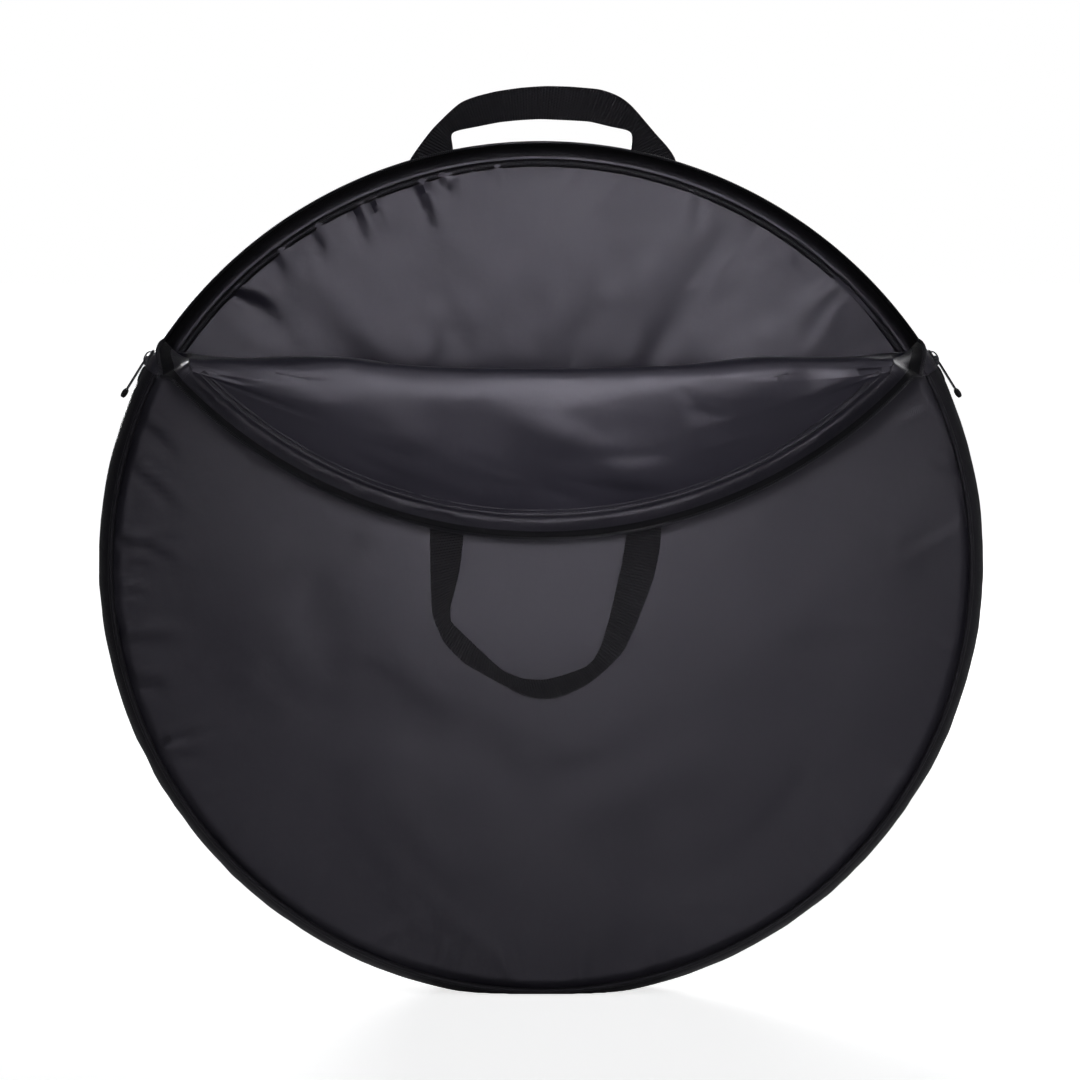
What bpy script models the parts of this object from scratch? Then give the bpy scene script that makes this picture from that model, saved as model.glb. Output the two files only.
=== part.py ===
"""Round padded bag for one bicycle wheel, standing on its rim with the upper front folded down.

Metres, +Z up. The front faces -Y. The origin is the middle of the flat patch that the bag stands on.
Angles round the rim are taken about the centre of the lower outline, from +X towards +Z.
"""
import math

import bmesh
import bpy
import numpy as np

# Outline
bag_radius = 0.380            # round outline below the zip ends
base_cut = 0.009              # how far the round outline is pressed flat where it stands
top_share = 0.958             # top of the zip line over the centre, as a share of the radius
zip_end_share = 0.455         # where the zip stops at either side, likewise
half_depth = 0.026            # from the middle plane to either seam
rim_inset = 0.013             # how far the seams lie inside the outline
tread_half_width = 0.015      # half the width of the rim strip that the wheel stands on
face_bulge = 0.030            # how far a face swells past its seam

# Wall layers
shell_thickness = 0.0008
padding_thickness = 0.0050
lining_thickness = 0.0006
seat_gap = 0.0003             # between two pieces that touch
merge_distance = 0.000001
probe_step = 0.0001           # for the slope of a face
sharp_angle = math.radians(50)

# Folding front
front_edge_share = 0.384      # where the standing front ends at mid width, of the radius over the centre
flap_root_share = 0.304       # where the stiff flap starts at mid width, of the zip's rise over its ends
flap_root_end_share = 0.250   # and where it starts at the rim
fold_axis_y = -0.066
fold_axis_share = 0.537       # the fold's axis over the centre, of the radius
fold_turn = math.radians(195)
fold_clearance = 0.0008
fold_side_clearance = 0.004
fold_waist_share = 0.089      # how far the roll draws in half way along it, of the zip end's distance
front_edge_rise_power = 6     # how late the top edge climbs to the zip ends
roll_reach_share = 0.46       # fullness of the roll, as a share of the distance it spans
spine_start_share = 0.16
spine_end_share = 0.34

# Zip
coil_radius = 0.0016
coil_half_spacing = 0.0023    # from the middle plane to either coil
coil_depth = 0.00145          # coil centre below the outline
tape_thickness = 0.0007
tape_outer_y = 0.014
band_edge_y = 0.006           # free edge of the cloth beside the coil
zip_run = 0.020               # straight length at either end, in which the slider parks

# Rim trim
piping_radius = 0.0022
binding_width = 0.007
binding_thickness = 0.0016
binding_setback = 0.002       # binding's outer edge from the panel's edge

# Guard discs over the wheel's axle ends
guard_radius = 0.060
guard_thickness = 0.0020

# Zip end patches
stop_length = 0.014
stop_half_width = 0.008
stop_thickness = 0.0011

# Slider
slider_half_length = 0.0070
slider_half_width = 0.0054
slider_plate = 0.0012
slider_clearance = 0.0003
slider_park = 0.0080          # slider centre from the zip end
slider_lip_inner_y = 0.0043
lip_relief = 0.0005           # room for the tape's slope over the lower lips
post_half_width = 0.00035
post_start = 0.0025
post_end = 0.0062
bail_half_length = 0.0050
bail_width = 0.0030
bail_thickness = 0.0012
bail_squareness = 0.6         # power of its arch

# Pull tab
pin_radius = 0.0008
pin_half_length = 0.0034
arm_inner_y = 0.0020
arm_share = 0.9               # thickness of the tab's arms, of its own
tab_start = 0.0068
tab_length = 0.0260
tab_half_width = 0.0045
tab_thickness = 0.0016
grip_length = 0.0080
grip_half_width = 0.0050
grip_half_thickness = 0.0026
grip_end_share = 0.62         # width at its ends, of its middle's

# Webbing
webbing_width = 0.030
webbing_thickness = 0.0020
sewn_length = 0.040
sewn_overlap = 0.0010

# Carry handle on the back
top_foot_x = 0.098
top_foot_drop = 0.098         # below the top of the zip line
top_shoulder_drop = 0.023
top_corner_x = 0.066
top_corner_rise = 0.022       # above it
top_crown_rise = 0.033
top_bend_radius = 0.030

# Handle on the flap
front_foot_x = 0.085
front_handle_shift = 0.004    # both feet stand this far to the right
front_loop_drop = 0.100       # middle line of the lowest stretch, below the bag's centre
front_bend_radius = 0.055
ramp_length = 0.014           # over which the sewn end climbs on to the piping
loop_clearance = 0.00095      # so that the loop's edge clears the sewn end as it swings

# Fineness
lower_steps = 29
upper_steps = 14
rear_zip_steps = 48
flap_zip_steps = 32
front_edge_steps = 14
panel_rings = 4
gusset_steps = 2              # across each of the rim's three strips
band_steps = 3
fold_steps = 8
fold_side_steps = 12
run_steps = 3
tube_sides = 6
stop_steps = 4
bail_steps = 8
pin_sides = 8
grip_steps = 5
grip_sides = 10
ramp_steps = 3
bend_steps = 5
sewn_rows = 6
webbing_columns = 4

# Worked out from the sizes above
centre_height = bag_radius - base_cut
bag_top_height = centre_height + bag_radius * top_share
zip_end_height = centre_height + bag_radius * zip_end_share
front_edge_height = centre_height + bag_radius * front_edge_share
fold_axis_height = centre_height + bag_radius * fold_axis_share
zip_end_x = math.sqrt(bag_radius ** 2 - (zip_end_height - centre_height) ** 2)
zip_rise = bag_top_height - zip_end_height
flap_root_height = zip_end_height + zip_rise * flap_root_share
flap_root_end_height = zip_end_height + zip_rise * flap_root_end_share
zip_radius = (zip_end_x ** 2 + zip_rise ** 2) / (2 * zip_rise)
zip_centre_height = bag_top_height - zip_radius
zip_end_turn = math.atan2(zip_end_x, zip_end_height - zip_centre_height)
zip_end_angle = math.atan2(zip_end_height - centre_height, zip_end_x)
padding_depth = shell_thickness + seat_gap
lining_depth = padding_depth + padding_thickness + seat_gap
wall_thickness = lining_depth + lining_thickness
tape_depth = shell_thickness + seat_gap
tape_inner_y = coil_half_spacing + coil_radius + seat_gap
piping_y = half_depth + seat_gap + piping_radius
upper_seam_radius = zip_radius - rim_inset
top_foot_height = bag_top_height - top_foot_drop
front_loop_height = centre_height - front_loop_drop
flap_start_turn = math.acos((flap_root_end_height - zip_centre_height) / upper_seam_radius)
flap_root_half_width = upper_seam_radius * math.sin(flap_start_turn)


def make_material(name, colour, roughness, metallic=0.0):
    """Principled finish with one colour."""
    finish = bpy.data.materials.new(name)
    finish.use_nodes = True
    shader = finish.node_tree.nodes["Principled BSDF"]
    shader.inputs["Base Color"].default_value = (*colour, 1.0)
    shader.inputs["Roughness"].default_value = roughness
    shader.inputs["Metallic"].default_value = metallic
    finish.diffuse_color = (*colour, 1.0)
    return finish


def add_piece(name, points, faces, finish, origin=(0, 0, 0), parent=None):
    """Closed mesh object with its faces pointing out; points are given in world or parent space."""
    shifted = np.asarray(points, dtype=float) - np.asarray(origin, dtype=float)
    mesh = bpy.data.meshes.new(name)
    shell = bmesh.new()
    corners = [shell.verts.new(point) for point in shifted]
    for face in faces:
        shell.faces.new([corners[index] for index in face])
    bmesh.ops.remove_doubles(shell, verts=shell.verts[:], dist=merge_distance)
    bmesh.ops.recalc_face_normals(shell, faces=shell.faces[:])
    shell.to_mesh(mesh)
    shell.free()
    mesh.shade_smooth()
    mesh.set_sharp_from_angle(angle=sharp_angle)
    mesh.materials.append(finish)
    piece = bpy.data.objects.new(name, mesh)
    piece.location = origin
    piece.parent = parent
    bpy.context.scene.collection.objects.link(piece)
    return piece


def slab(outer, inner, wrap=False):
    """Points and faces of the closed body between two grids of points of one shape.

    Both sides are cut into triangles along the same diagonals, so that nested layers lie parallel.
    """
    rows, columns = outer.shape[:2]
    points = np.concatenate([outer.reshape(-1, 3), inner.reshape(-1, 3)])
    offset = rows * columns
    faces = []

    def at(row, column):
        return (row % rows) * columns + column

    for row in range(rows if wrap else rows - 1):
        for column in range(columns - 1):
            quad = (at(row, column), at(row + 1, column), at(row + 1, column + 1), at(row, column + 1))
            for corners in (quad[:3], (quad[0], quad[2], quad[3])):
                faces.append(corners)
                faces.append(tuple(offset + corner for corner in reversed(corners)))
        for column in (0, columns - 1):
            faces.append((at(row, column), at(row + 1, column),
                          offset + at(row + 1, column), offset + at(row, column)))
    if not wrap:
        for row in (0, rows - 1):
            for column in range(columns - 1):
                faces.append((at(row, column), at(row, column + 1),
                              offset + at(row, column + 1), offset + at(row, column)))
    return points, faces


def loft(rings, closed=False):
    """Points and faces of the body through a row of rings, with flat ends unless it closes on itself."""
    count, sides = rings.shape[:2]
    faces = []
    for ring in range(count if closed else count - 1):
        start = ring * sides
        after = ((ring + 1) % count) * sides
        for side in range(sides):
            step = (side + 1) % sides
            faces.append((start + side, start + step, after + step, after + side))
    if not closed:
        faces.append(tuple(reversed(range(sides))))
        faces.append(tuple(range((count - 1) * sides, count * sides)))
    return rings.reshape(-1, 3), faces


def unit(vectors):
    """Vectors brought to length one."""
    return vectors / np.linalg.norm(vectors, axis=-1, keepdims=True)


def tube(path, radius, sides=tube_sides, closed=False):
    """Round rod along a path; its section is carried along without twisting."""
    ahead = np.roll(path, -1, axis=0) - np.roll(path, 1, axis=0)
    if not closed:
        ahead[0] = path[1] - path[0]
        ahead[-1] = path[-1] - path[-2]
    ahead = unit(ahead)
    across = np.cross(ahead[0], (0.0, 1.0, 0.0))
    turns = np.arange(sides) * 2 * math.pi / sides
    rings = []
    for place, direction in zip(path, ahead):
        across = unit(across - direction * np.dot(across, direction))
        beside = np.cross(direction, across)
        rings.append(place + radius * (np.outer(np.cos(turns), across) + np.outer(np.sin(turns), beside)))
    return loft(np.array(rings), closed)


def ribbon(path, face_normal, width, thickness):
    """Flat strap along a path that bends in its own plane."""
    ahead = np.gradient(path, axis=0)
    sideways = unit(np.cross(unit(ahead), face_normal))
    normal = np.asarray(face_normal, dtype=float)
    corners = [(1, 1), (-1, 1), (-1, -1), (1, -1)]
    rings = np.stack([path + sideways * width / 2 * a + normal * thickness / 2 * b for a, b in corners], axis=1)
    return loft(rings)


def rounded_path(corners, radius, steps=bend_steps):
    """Open path through corners, with each inner corner turned on a radius."""
    corners = [np.asarray(corner, dtype=float) for corner in corners]
    path = [corners[0]]
    for before, corner, after in zip(corners, corners[1:], corners[2:]):
        inward = unit(before - corner)
        outward = unit(after - corner)
        half_turn = math.acos(max(-1.0, min(1.0, float(np.dot(inward, outward))))) / 2
        setback = radius / math.tan(half_turn)
        start, end = corner + inward * setback, corner + outward * setback
        hub = corner + unit(inward + outward) * radius / math.sin(half_turn)
        for share in np.linspace(0, 1, steps + 1):
            chord = start * (1 - share) + end * share
            path.append(hub + unit(chord - hub) * radius)
    path.append(corners[-1])
    return np.array(path)


def block(low, high):
    """Points and faces of a box between two corners."""
    xs, ys, zs = zip(low, high)
    ring = [(xs[0], ys[0]), (xs[1], ys[0]), (xs[1], ys[1]), (xs[0], ys[1])]
    return loft(np.array([[(x, y, z) for x, y in ring] for z in zs]))


def unite(name, shapes, finish, origin=(0, 0, 0), parent=None):
    """One body from several overlapping shapes."""
    base = add_piece(name, *shapes[0], finish, origin, parent)
    others = [add_piece(name + "_operand", *shape, finish, origin, parent) for shape in shapes[1:]]
    for other in others:
        union = base.modifiers.new("Union", "BOOLEAN")
        union.operation = "UNION"
        union.solver = "EXACT"
        union.object = other
    bpy.context.view_layer.update()
    joined = bpy.data.meshes.new_from_object(base.evaluated_get(bpy.context.evaluated_depsgraph_get()))
    base.modifiers.clear()
    base.data = joined
    for other in others:
        bpy.data.objects.remove(other)
    joined.set_sharp_from_angle(angle=sharp_angle)
    return base


def bezier_blend(start, start_way, end, end_way, shares, start_share, end_share):
    """Grid of smooth curves from one row of points to another, leaving and arriving along two ways."""
    distance = np.linalg.norm(end - start, axis=-1, keepdims=True)
    out = start + unit(start_way) * distance * start_share
    into = end - unit(end_way) * distance * end_share
    t = np.asarray(shares).reshape(-1, 1, 1)
    return ((1 - t) ** 3 * start + 3 * t * (1 - t) ** 2 * out + 3 * t ** 2 * (1 - t) * into + t ** 3 * end)


def thicken(middle, thickness, first, last):
    """Outer and inner grids either side of a middle surface; the end rows meet given (outer, inner) rows."""
    normals = unit(np.cross(np.gradient(middle, axis=0), np.gradient(middle, axis=1)))
    if np.sum(normals[0] * (first[0] - first[1])) < 0:
        normals = -normals
    outer, inner = middle + normals * thickness / 2, middle - normals * thickness / 2
    outer[0], inner[0] = first
    outer[-1], inner[-1] = last
    return outer, inner


def round_radius(angles):
    """Radius of the outline before it is pressed flat: the lower circle and the zip's circle."""
    drop = centre_height - zip_centre_height
    upper = -drop * np.sin(angles) + np.sqrt(zip_radius ** 2 - (drop * np.cos(angles)) ** 2)
    return np.minimum(bag_radius, upper)


def seam_radius(angles):
    return round_radius(angles) - rim_inset


def polar(angles, radii, across):
    """World points from an angle and a radius about the centre, and a place across the bag."""
    angles, radii, across = np.broadcast_arrays(angles, radii, across)
    return np.stack([radii * np.cos(angles), across, centre_height + radii * np.sin(angles)], axis=-1)


def rim_grid(angles, turns, depth):
    """Band round the rim: a turn of 0 is the rear seam, half a turn the front one."""
    angles = np.asarray(angles)[:, None]
    turns = np.asarray(turns)[None, :]
    radii = seam_radius(angles) + (rim_inset - depth) * np.sin(turns)
    lift = np.maximum(-np.sin(angles), math.sin(math.radians(1)))
    radii = np.minimum(radii, centre_height / lift - depth)
    return polar(angles, radii, (half_depth - depth) * np.cos(turns))


def rim_turn(across, depth=0.0):
    """Turn at which the rim band lies at a given place across the bag."""
    return math.acos(across / (half_depth - depth))


def face_swell(angles, radii):
    """How far a face stands out from its seam."""
    return face_bulge * np.cos(np.minimum(radii / seam_radius(angles), 1) * math.pi / 2) ** 2


def face_grid(angles, radii, side, depth):
    """Points of a domed face, side -1 in front and 1 behind, at a depth below its surface."""
    return polar(angles, radii, side * (half_depth + face_swell(angles, radii) - depth))


def face_at(x, z, side, depth):
    """The same face by its width and height."""
    x, z = np.broadcast_arrays(np.asarray(x, dtype=float), np.asarray(z, dtype=float))
    angles = np.arctan2(z - centre_height, x)
    radii = np.hypot(x, z - centre_height)
    return face_grid(angles, radii, side, depth)


def face_upward(x, z, side, depth):
    """Direction up along the face."""
    return (face_at(x, z + probe_step, side, depth) - face_at(x, z, side, depth)) / probe_step


def turned(ways, turn=fold_turn):
    """Directions turned about +X."""
    cosine, sine = np.cos(turn), np.sin(turn)
    return np.stack([ways[..., 0], ways[..., 1] * cosine - ways[..., 2] * sine,
                     ways[..., 1] * sine + ways[..., 2] * cosine], axis=-1)


def opened(points):
    """Points of the zipped-up flap, turned down about the fold."""
    axis = np.array([0, fold_axis_y, fold_axis_height])
    return axis + turned(points - axis)


def upper_angles(start_turn, end_turn, steps):
    """Angles of evenly spaced points of the zip's circle, given by their turns from its top."""
    turns = np.linspace(start_turn, end_turn, steps + 1)
    x = zip_radius * np.sin(turns)
    z = zip_centre_height + zip_radius * np.cos(turns)
    return np.arctan2(z - centre_height, x)


def zip_arc(start_turn, end_turn, across, depth, steps):
    """Points along the zip line, from one turn from its top to another."""
    turns = np.linspace(start_turn, end_turn, steps + 1)
    radius = zip_radius - depth
    return np.stack([radius * np.sin(turns), np.full_like(turns, across),
                     zip_centre_height + radius * np.cos(turns)], axis=-1)


def zip_length_turn(length):
    return length / zip_radius


# Angles shared by the pieces round the rim, so that facets lie on facets
lower_angles = np.linspace(math.pi - zip_end_angle, 2 * math.pi + zip_end_angle, lower_steps + 1)
zip_angles = upper_angles(zip_end_turn, -zip_end_turn, upper_steps)
flap_angles = upper_angles(-flap_start_turn, flap_start_turn, upper_steps)
full_angles = np.concatenate([lower_angles, zip_angles[1:-1]])


def panel_layer(name, angles, edge_radii, side, depth, thickness, finish):
    """One layer of a round panel, from its centre out to its edge, with a ring at the guard disc's edge."""
    shares = np.linspace(0, 1, panel_rings)[None, :]
    rings = guard_radius + (edge_radii[:, None] - guard_radius) * shares
    radii = np.concatenate([np.zeros((len(angles), 1)), rings], axis=1)
    grids = [face_grid(angles[:, None], radii, side, level) for level in (depth, depth + thickness)]
    return add_piece(name, *slab(*grids, wrap=True), finish)


def rim_band(name, angles, turns, depth, thickness, finish, parent=None, origin=(0, 0, 0)):
    """Strip of cloth on the rim, at a depth below its outline."""
    grids = [rim_grid(angles, turns, level) for level in (depth, depth + thickness)]
    grids = [grid - np.asarray(origin) for grid in grids] if parent else grids
    return add_piece(name, *slab(*grids), finish, parent=parent)


def rim_tube(name, angles, across, finish, closed=False, parent=None, origin=(0, 0, 0)):
    """Piping that stands on a seam."""
    path = polar(angles, seam_radius(angles), across)
    path = path - np.asarray(origin) if parent else path
    return add_piece(name, *tube(path, piping_radius, closed=closed), finish, parent=parent)


def rim_binding(name, angles, side, finish, wrap=False, parent=None, origin=(0, 0, 0)):
    """Binding tape sewn on the lining beside the seam."""
    outer_edge = seam_radius(angles) - seat_gap - binding_setback
    radii = np.stack([outer_edge - binding_width, outer_edge], axis=1)
    depth = wall_thickness + seat_gap
    grids = [face_grid(angles[:, None], radii, side, level) for level in (depth, depth + binding_thickness)]
    grids = [grid - np.asarray(origin) for grid in grids] if parent else grids
    return add_piece(name, *slab(*grids, wrap=wrap), finish, parent=parent)


def build_rear_panel(cloth, foam, lining):
    edge = seam_radius(full_angles) - seat_gap
    shell = panel_layer("rear_shell", full_angles, edge, 1, 0, shell_thickness, cloth)
    panel_layer("rear_padding", full_angles, edge, 1, padding_depth, padding_thickness, foam)
    panel_layer("rear_lining", full_angles, edge, 1, lining_depth, lining_thickness, lining)
    return shell


def front_edge_angles():
    """Angles along the standing front's top edge, from left to right."""
    return np.linspace(math.pi - zip_end_angle, zip_end_angle, front_edge_steps + 1)


def front_edge_radii(angles):
    """The top edge is level at mid width and climbs to the zip ends."""
    end_height = seam_radius(zip_end_angle) * math.sin(zip_end_angle)
    shares = np.abs(angles - math.pi / 2) / (math.pi / 2 - zip_end_angle)
    middle_height = front_edge_height - centre_height
    heights = middle_height + (end_height - middle_height) * shares ** front_edge_rise_power
    return heights / np.sin(angles)


def front_panel_angles():
    """Angles round the standing front: up one side of the rim and back along the top edge."""
    return np.concatenate([lower_angles, front_edge_angles()[::-1][1:-1]])


def build_front_panel(cloth, foam, lining):
    angles = front_panel_angles()
    edge_angles = angles[len(lower_angles):]
    edge = np.concatenate([seam_radius(lower_angles), front_edge_radii(edge_angles)]) - seat_gap
    panel_layer("front_shell", angles, edge, -1, 0, shell_thickness, cloth)
    panel_layer("front_padding", angles, edge, -1, padding_depth, padding_thickness, foam)
    panel_layer("front_lining", angles, edge, -1, lining_depth, lining_thickness, lining)


def build_axle_guards(plastic):
    """Stiff disc sewn on the lining in the middle of either face."""
    depth = wall_thickness + seat_gap
    places = (("rear_axle_guard", 1, full_angles), ("front_axle_guard", -1, front_panel_angles()))
    for name, side, angles in places:
        radii = np.array([[0, guard_radius]])
        grids = [face_grid(angles[:, None], radii, side, level) for level in (depth, depth + guard_thickness)]
        add_piece(name, *slab(*grids, wrap=True), plastic)


def build_gusset(cloth, lining):
    """Rim strip sewn from three: one beside either seam, and the one that the wheel stands on."""
    half_gap = seat_gap / 2
    side_end, tread_start = rim_turn(tread_half_width + half_gap), rim_turn(tread_half_width - half_gap)
    strips = (("gusset_rear", 0, side_end), ("gusset_tread", tread_start, math.pi - tread_start),
              ("gusset_front", math.pi - side_end, math.pi))
    for name, start, end in strips:
        turns = np.linspace(start, end, gusset_steps + 1)
        rim_band(name, lower_angles, turns, 0, shell_thickness, cloth)
    seam = rim_turn(tread_half_width)
    spans = [np.linspace(start, end, gusset_steps + 1)
             for start, end in ((0, seam), (seam, math.pi - seam), (math.pi - seam, math.pi))]
    lining_turns = np.concatenate([spans[0], spans[1][1:-1], spans[2]])
    rim_band("gusset_lining", lower_angles, lining_turns, padding_depth, lining_thickness, lining)


def build_rim_trim(trim, binding):
    rim_tube("rear_piping", full_angles, piping_y, trim, closed=True)
    rim_tube("front_piping", lower_angles, -piping_y, trim)
    rim_binding("rear_binding", full_angles, 1, binding, wrap=True)
    rim_binding("front_binding", lower_angles, -1, binding)


def build_rear_zip(cloth, tape, coil):
    """Cloth strip, tape and coil that stay on the bag's rear half."""
    start = zip_end_turn - zip_length_turn(seat_gap)
    angles = upper_angles(start, -start, rear_zip_steps)
    rim_band("rear_zip_band", angles, np.linspace(0, rim_turn(band_edge_y), band_steps + 1),
             0, shell_thickness, cloth)
    turns = [rim_turn(tape_outer_y, tape_depth), rim_turn(tape_inner_y, tape_depth)]
    rim_band("rear_zip_tape", angles, turns, tape_depth, tape_thickness, tape)
    path = zip_arc(start, -start, coil_half_spacing, coil_depth, rear_zip_steps)
    add_piece("rear_zip_coil", *tube(path, coil_radius), coil)


def build_zip_ends(patch):
    """Patch over the gusset below either end of the zip."""
    for name, middle in (("left_zip_stop", math.pi - zip_end_angle), ("right_zip_stop", zip_end_angle)):
        span = stop_length / bag_radius
        way = 1 if middle > math.pi / 2 else -1
        angles = np.linspace(middle, middle + way * span, stop_steps + 1)
        turns = np.linspace(rim_turn(stop_half_width), rim_turn(-stop_half_width), stop_steps + 1)
        grids = [rim_grid(angles, turns, -level) for level in (seat_gap + stop_thickness, seat_gap)]
        add_piece(name, *slab(*grids), patch)


def flap_root_heights(x):
    rise = flap_root_end_height - flap_root_height
    return flap_root_height + rise * (x / flap_root_half_width) ** 2


def flap_layer(name, depth, thickness, finish, hinge):
    """One layer of the flap, zipped up, from its root line to the seam."""
    origin = np.asarray(hinge.location)
    grids = []
    for level in (depth, depth + thickness):
        rim = polar(flap_angles, seam_radius(flap_angles) - seat_gap, 0)
        root_x = rim[:, 0]
        root_z = np.minimum(flap_root_heights(root_x), rim[:, 2])
        shares = np.linspace(0, 1, panel_rings + 1)[None, :]
        x = np.broadcast_to(root_x[:, None], (len(root_x), shares.size))
        z = root_z[:, None] * (1 - shares) + rim[:, 2][:, None] * shares
        grids.append(face_at(x, z, -1, level) - origin)
    return add_piece(name, *slab(*grids), finish, parent=hinge)


def build_flap(hinge, cloth, foam, lining, tape, coil, trim, binding):
    origin = np.asarray(hinge.location)
    shell = flap_layer("flap_shell", 0, shell_thickness, cloth, hinge)
    flap_layer("flap_padding", padding_depth, padding_thickness, foam, hinge)
    flap_layer("flap_lining", lining_depth, lining_thickness, lining, hinge)
    angles = upper_angles(-flap_start_turn, flap_start_turn, flap_zip_steps)
    rim_band("flap_zip_band", angles, np.linspace(math.pi, rim_turn(-band_edge_y), band_steps + 1),
             0, shell_thickness, cloth, hinge, origin)
    turns = [rim_turn(-tape_outer_y, tape_depth), rim_turn(-tape_inner_y, tape_depth)]
    rim_band("flap_zip_tape", angles, turns, tape_depth, tape_thickness, tape, hinge, origin)
    path = zip_arc(-flap_start_turn, flap_start_turn, -coil_half_spacing, coil_depth, flap_zip_steps)
    add_piece("flap_zip_coil", *tube(path - origin, coil_radius), coil, parent=hinge)
    rim_tube("flap_piping", flap_angles, -piping_y, trim, parent=hinge, origin=origin)
    rim_binding("flap_binding", flap_angles[1:-1], -1, binding, parent=hinge, origin=origin)
    return shell


def build_front_fold(padded):
    """Soft roll between the standing front and the flap, as it lies when the flap is down."""
    shares = np.linspace(0, 1, fold_steps + 1)
    angles = front_edge_angles()
    radii = front_edge_radii(angles)
    x = radii * np.cos(angles)
    trim_share = 1 - fold_side_clearance / zip_end_x
    x, z = x * trim_share, centre_height + radii * np.sin(angles)
    start = face_at(x, z + fold_clearance, -1, wall_thickness / 2)
    start_way = face_upward(x, z, -1, wall_thickness / 2)
    root_x = np.linspace(-flap_root_half_width, flap_root_half_width, len(x)) * trim_share
    root_z = flap_root_heights(root_x)
    end = opened(face_at(root_x, root_z - fold_clearance, -1, wall_thickness / 2))
    end_way = turned(face_upward(root_x, root_z, -1, wall_thickness / 2))
    middle = bezier_blend(start, start_way, end, end_way, shares, roll_reach_share, roll_reach_share)
    middle[..., 0] *= 1 - fold_waist_share * np.sin(math.pi * shares)[:, None]
    first = [face_at(x, z + fold_clearance, -1, depth) for depth in (0, wall_thickness)]
    last = [opened(face_at(root_x, root_z - fold_clearance, -1, depth)) for depth in (0, wall_thickness)]
    add_piece("front_fold", *slab(*thicken(middle, wall_thickness, first, last)), padded)


def fold_rows(side, turns, depth):
    """Rows of the rim strip from a zip end to the flap's own rim, as it lies when the flap is down.

    The strip runs straight where the slider parks. Beyond, its section rides along the seam's new
    path and turns over with the fold, without changing its width.
    """
    run_end = zip_end_turn - zip_length_turn(zip_run)
    flap_end = flap_start_turn + zip_length_turn(fold_clearance)
    run_angles = upper_angles(side * (zip_end_turn - zip_length_turn(seat_gap)), side * run_end, run_steps)
    angles = upper_angles(side * run_end, side * flap_end, fold_side_steps)
    closed = rim_grid(angles, turns, depth)
    seam = rim_grid(angles, [math.pi], 0)
    shares = np.linspace(0, 1, fold_side_steps + 1)
    spine = bezier_blend(seam[0], seam[1] - seam[0], opened(seam[-1]), turned(seam[-1] - seam[-2]),
                         shares, spine_start_share, spine_end_share)
    turn = fold_turn * (shares * shares * (3 - 2 * shares))[:, None]
    bridge = spine + turned(closed - seam, turn)
    return np.concatenate([rim_grid(run_angles[:-1], turns, depth), bridge])


def build_fold_sides(cloth, tape, coil):
    for name, side in (("left", -1), ("right", 1)):
        turns = np.linspace(math.pi, rim_turn(-band_edge_y), band_steps + 1)
        grids = [fold_rows(side, turns, level) for level in (0, shell_thickness)]
        add_piece(name + "_fold_band", *slab(*grids), cloth)
        turns = [rim_turn(-tape_outer_y, tape_depth), rim_turn(-tape_inner_y - fold_clearance, tape_depth)]
        grids = [fold_rows(side, turns, level) for level in (tape_depth, tape_depth + tape_thickness)]
        add_piece(name + "_fold_tape", *slab(*grids), tape)
        path = fold_rows(side, [rim_turn(-coil_half_spacing, coil_depth)], coil_depth)[:, 0]
        add_piece(name + "_fold_coil", *tube(path, coil_radius), coil)


def cloth_y(panel, x, z, side):
    """Where a panel's outer side lies across the bag, in its own space; past its edge, the seam's level."""
    start = (x, side * bag_radius, z)
    hit, place, _, _ = panel.ray_cast(start, (0, -side, 0))
    return place.y if hit else side * half_depth - panel.parent.location.y * bool(panel.parent)


def face_strip(panel, x_middle, heights, lifts, side):
    """Webbing laid on a panel: its inner side stands off the cloth by a lift at each height."""
    xs = x_middle + np.linspace(-1, 1, webbing_columns) * webbing_width / 2
    grids = []
    for extra in (webbing_thickness, 0):
        grids.append(np.array([[(x, cloth_y(panel, x, z, side) + side * (lift + extra), z) for x in xs]
                               for z, lift in zip(heights, lifts)]))
    return grids


def build_top_handle(panel, webbing):
    """Carry handle on the back: two sewn ends and the standing loop, which turns on their outer side."""
    rows = sewn_rows
    for name, x in (("top_handle_end_left", -top_foot_x), ("top_handle_end_right", top_foot_x)):
        heights = np.linspace(top_foot_height - sewn_length, top_foot_height + sewn_overlap, rows)
        grids = face_strip(panel, x, heights, np.full(rows, seat_gap), 1)
        add_piece(name, *slab(*grids), webbing)
    inner_edge = top_foot_x - webbing_width / 2
    hinge_y = cloth_y(panel, inner_edge, top_foot_height, 1) + webbing_thickness * 1.5 + seat_gap * 2
    shoulder, corner = bag_top_height - top_shoulder_drop, bag_top_height + top_corner_rise
    corners = [(-top_foot_x, top_foot_height), (-top_foot_x, shoulder), (-top_corner_x, corner),
               (0, bag_top_height + top_crown_rise), (top_corner_x, corner), (top_foot_x, shoulder),
               (top_foot_x, top_foot_height)]
    path = rounded_path([(x, hinge_y, z) for x, z in corners], top_bend_radius)
    add_piece("top_handle", *ribbon(path, (0, 1, 0), webbing_width, webbing_thickness), webbing,
              origin=(0, hinge_y, top_foot_height))


def seam_height(x):
    """Height of the zipped-up flap's seam at a place across the width."""
    return zip_centre_height + math.sqrt(upper_seam_radius ** 2 - x ** 2)


def front_hinge_closed():
    """Where the loop leaves the flap, zipped up: over the piping, level with its highest point."""
    inner_edge = front_foot_x - front_handle_shift - webbing_width / 2
    y = -(piping_y + piping_radius + seat_gap + webbing_thickness / 2)
    return np.array([0, y, seam_height(inner_edge) + piping_radius])


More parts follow.
